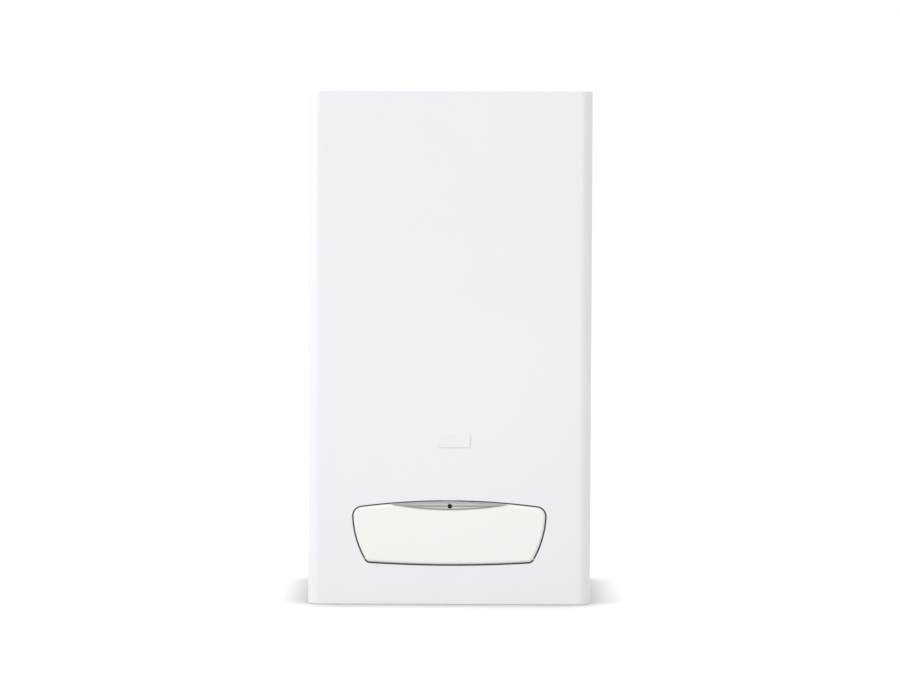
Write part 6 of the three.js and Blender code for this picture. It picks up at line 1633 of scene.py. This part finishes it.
# ---- Wiring ----
def corrugated(corners, radius, bend, pitch=3.2, depth=0.8):
    """A ribbed conduit along straight runs and bends."""
    line, total = bent(corners, bend), [0]
    for a, b in zip(line, line[1:]):
        total.append(total[-1] + (b - a).length)
    count, points, at = round(total[-1] / pitch) * 4, [], 0
    for k in range(count + 1):
        goal = total[-1] * k / count
        while at < len(line) - 2 and total[at + 1] < goal:
            at += 1
        points.append(line[at].lerp(line[at + 1], (goal - total[at]) / (total[at + 1] - total[at])))
    turns = TAU * count / 4
    return tube(points, lambda share: radius - depth * (0.5 - 0.5 * math.cos(turns * share)), 16)


def wiring():
    x, y = 90, -222
    rise_x, rise_y = LOOM_RISE
    trunk = corrugated([(x, -241, 150), (x, y, 150), (x, y, 372), (rise_x, y, 372), (rise_x, rise_y, 372),
                        (rise_x, rise_y, 778), (FAN_X + 12.3, rise_y, 778)], 4.5, 12)
    branch = corrugated([(x, y, 205), (-22, y, 215), (-22, y, 258), (-22, -196.3, 258)], 3, 8, 2.4, 0.5)
    piece("conduit", together(trunk, branch), RUBBER, "cable", "chassis", "wiring_loom")
    tie = together(band("z", (4.4, 5.4), (-1.6, 1.6), (0, 0), 0.3, 32), box((4.6, 8.4), (-2, 2), (-2.4, 2.4), 0.5),
                   box((8, 13), (-0.5, 0.5), (-1.2, 1.2), 0.3))
    ties = [moved(tie, (rise_x, rise_y, z), turn) for z, turn in ((430, 2.6), (540, 2.2), (650, 2.9), (745, 2.4))]
    ties += [moved(tie, (x, y, z), turn) for z, turn in ((240, 0.6), (330, 1))]
    piece("cable_ties", together(*ties), WHITE_NYLON, "white_plastic", "chassis")


# ---- Stage ----
def seen_by(tree):
    """1 for a ray that shows the background: one from the camera, off a gloss or through glass."""
    ray = add(tree, "ShaderNodeLightPath").outputs
    seen = ray["Is Camera Ray"]
    for other in ("Is Glossy Ray", "Is Transmission Ray"):
        seen = add(tree, "ShaderNodeMath", {0: seen, 1: ray[other]}, operation="MAXIMUM").outputs[0]
    return seen


FLOOR_SIZE = 8  # metres from the middle to each side
FLOOR_BOUNCE = 0.2  # the light the floor gives the boiler, so that the underside isn't lost in the dark
FLOOR_PAINTED_SHADOW, FLOOR_WHITE = 0.34, 0.8  # the floor's own light as the camera sees it: dimmed near the boiler into a painted contact shadow, and full where nothing is
PAINTED_SHADOW_REACH = 0.07  # metres over which the painted contact shadow fades out
SKY_LIGHT, SKY_SEEN = 0.93, 1.0  # the background's strength as a light, and as the camera shows it


def add_stage():
    span = (-FLOOR_SIZE, FLOOR_SIZE)
    points = [(x, y, FLOOR) for x, y in rectangle(span, span)]
    mesh = bpy.data.meshes.new("floor")
    mesh.from_pydata(points, [], [(0, 1, 2, 3)])
    floor = bpy.data.objects.new("floor", mesh)
    bpy.context.scene.collection.objects.link(floor)
    paper = bpy.data.materials.new("white_paper")
    paper.use_nodes = True
    tree = paper.node_tree
    tree.nodes.clear()
    # Painted contact shadow: ambient occlusion dims the floor's glow near the boiler for camera, gloss and glass rays.
    contact = add(tree, "ShaderNodeAmbientOcclusion", values={"Distance": PAINTED_SHADOW_REACH})
    lit = add(tree, "ShaderNodeMapRange", {"Value": contact.outputs["AO"]},
              {"From Min": 0.5, "From Max": 1.0, "To Min": FLOOR_PAINTED_SHADOW, "To Max": FLOOR_WHITE})
    shown = add(tree, "ShaderNodeMix", {0: seen_by(tree), 3: lit.outputs["Result"]}, {2: FLOOR_BOUNCE})
    glow = add(tree, "ShaderNodeEmission", {"Strength": shown.outputs[0]})
    paint = add(tree, "ShaderNodeBsdfDiffuse", values={"Color": linear("#929292")})
    both = add(tree, "ShaderNodeAddShader", {0: glow.outputs[0], 1: paint.outputs[0]})
    clear = add(tree, "ShaderNodeBsdfTransparent")
    below = add(tree, "ShaderNodeNewGeometry").outputs["Backfacing"]
    surface = add(tree, "ShaderNodeMixShader", {0: below, 1: both.outputs[0], 2: clear.outputs[0]})
    add(tree, "ShaderNodeOutputMaterial", {"Surface": surface.outputs[0]})
    mesh.materials.append(paper)


def add_world():
    world = bpy.data.worlds.new("studio")
    bpy.context.scene.world = world
    world.use_nodes = True
    tree = world.node_tree
    tree.nodes.clear()
    strength = add(tree, "ShaderNodeMapRange", {"Value": seen_by(tree)}, {"To Min": SKY_LIGHT, "To Max": SKY_SEEN})
    sky = add(tree, "ShaderNodeBackground", {"Strength": strength.outputs["Result"]}, {"Color": (1, 1, 1, 1)})
    add(tree, "ShaderNodeOutputWorld", {"Surface": sky.outputs[0]})
    bpy.context.scene.view_settings.view_transform = "Standard"


add_camera()
add_world()
add_stage()
BOILER, COVER_FOOT = (0, -0.2, FLOOR + HEIGHT * MM / 2), (0, FRONT * MM, FLOOR + 0.03)
# The key from the left front gives the photo's shading, the fill lifts the right side, and a low card lights the
# cover's bottom edge.
for label, at, aim, size, share in (("key", (-3.2, -1.9, 1.2), BOILER, 1.6, 0.33),
                                    ("fill", (1.2, -3.4, -0.2), BOILER, 2.0, 0.09),
                                    ("low_card", (0, -1.35, FLOOR + 0.12), COVER_FOOT, 0.6, 0.08)):
    add_lamp(label, at, aim, size, share)

for make in (front_cover, control_flap, grip_trim, badge_plate, cover_seal, flap_bezel, wall_rail, back_frame,
             chamber_box, top_panel, base_tray, chassis_screws, flue_sockets, fan, fan_drive, hood, heat_exchanger,
             combustion_chamber, burner, gas_bar, electrode, pressure_switch, expansion_vessel, copper_pipes,
             flow_casting, return_casting, pump, small_brass, plate_exchanger, diverter, cable_gland, gas_pipe_in,
             gas_valve, control_fascia, knobs, pressure_gauge, reset, control_box, circuit_board, wiring):
    make()

SLOT_FINISH = {
    "enamel": ENAMEL, "ivory_plastic": IVORY, "silver_paint": SILVER, "smoked_lens": SMOKED,
    "grey_plastic": GREY_ABS, "dark_plastic": BLACK_NYLON, "white_plastic": WHITE_NYLON,
    "glazed_ceramic": GLAZED_CERAMIC, "galvanised": ZINC, "stainless": STAINLESS, "steel": BRIGHT_STEEL,
    "brass": BRASS, "copper": COPPER, "cast_aluminium": CAST_ALUMINIUM, "red_paint": RED_PAINT,
    "red_plastic": RED_NYLON, "blue_plastic": BLUE_NYLON, "rubber": FOAM, "cable": RUBBER,
    "silicone": SILICONE, "ceramic_fibre": FIBRE, "board": SOLDER_MASK, "clear_glass": CLEAR,
}
# The solids that no piece stands for show their slot's finish.
for part in frame["record"]["subparts"]:
    mesh = frame["nodes"][part["node"]].data
    mesh.materials.clear()
    mesh.materials.append(SLOT_FINISH[part["material_slot"]])
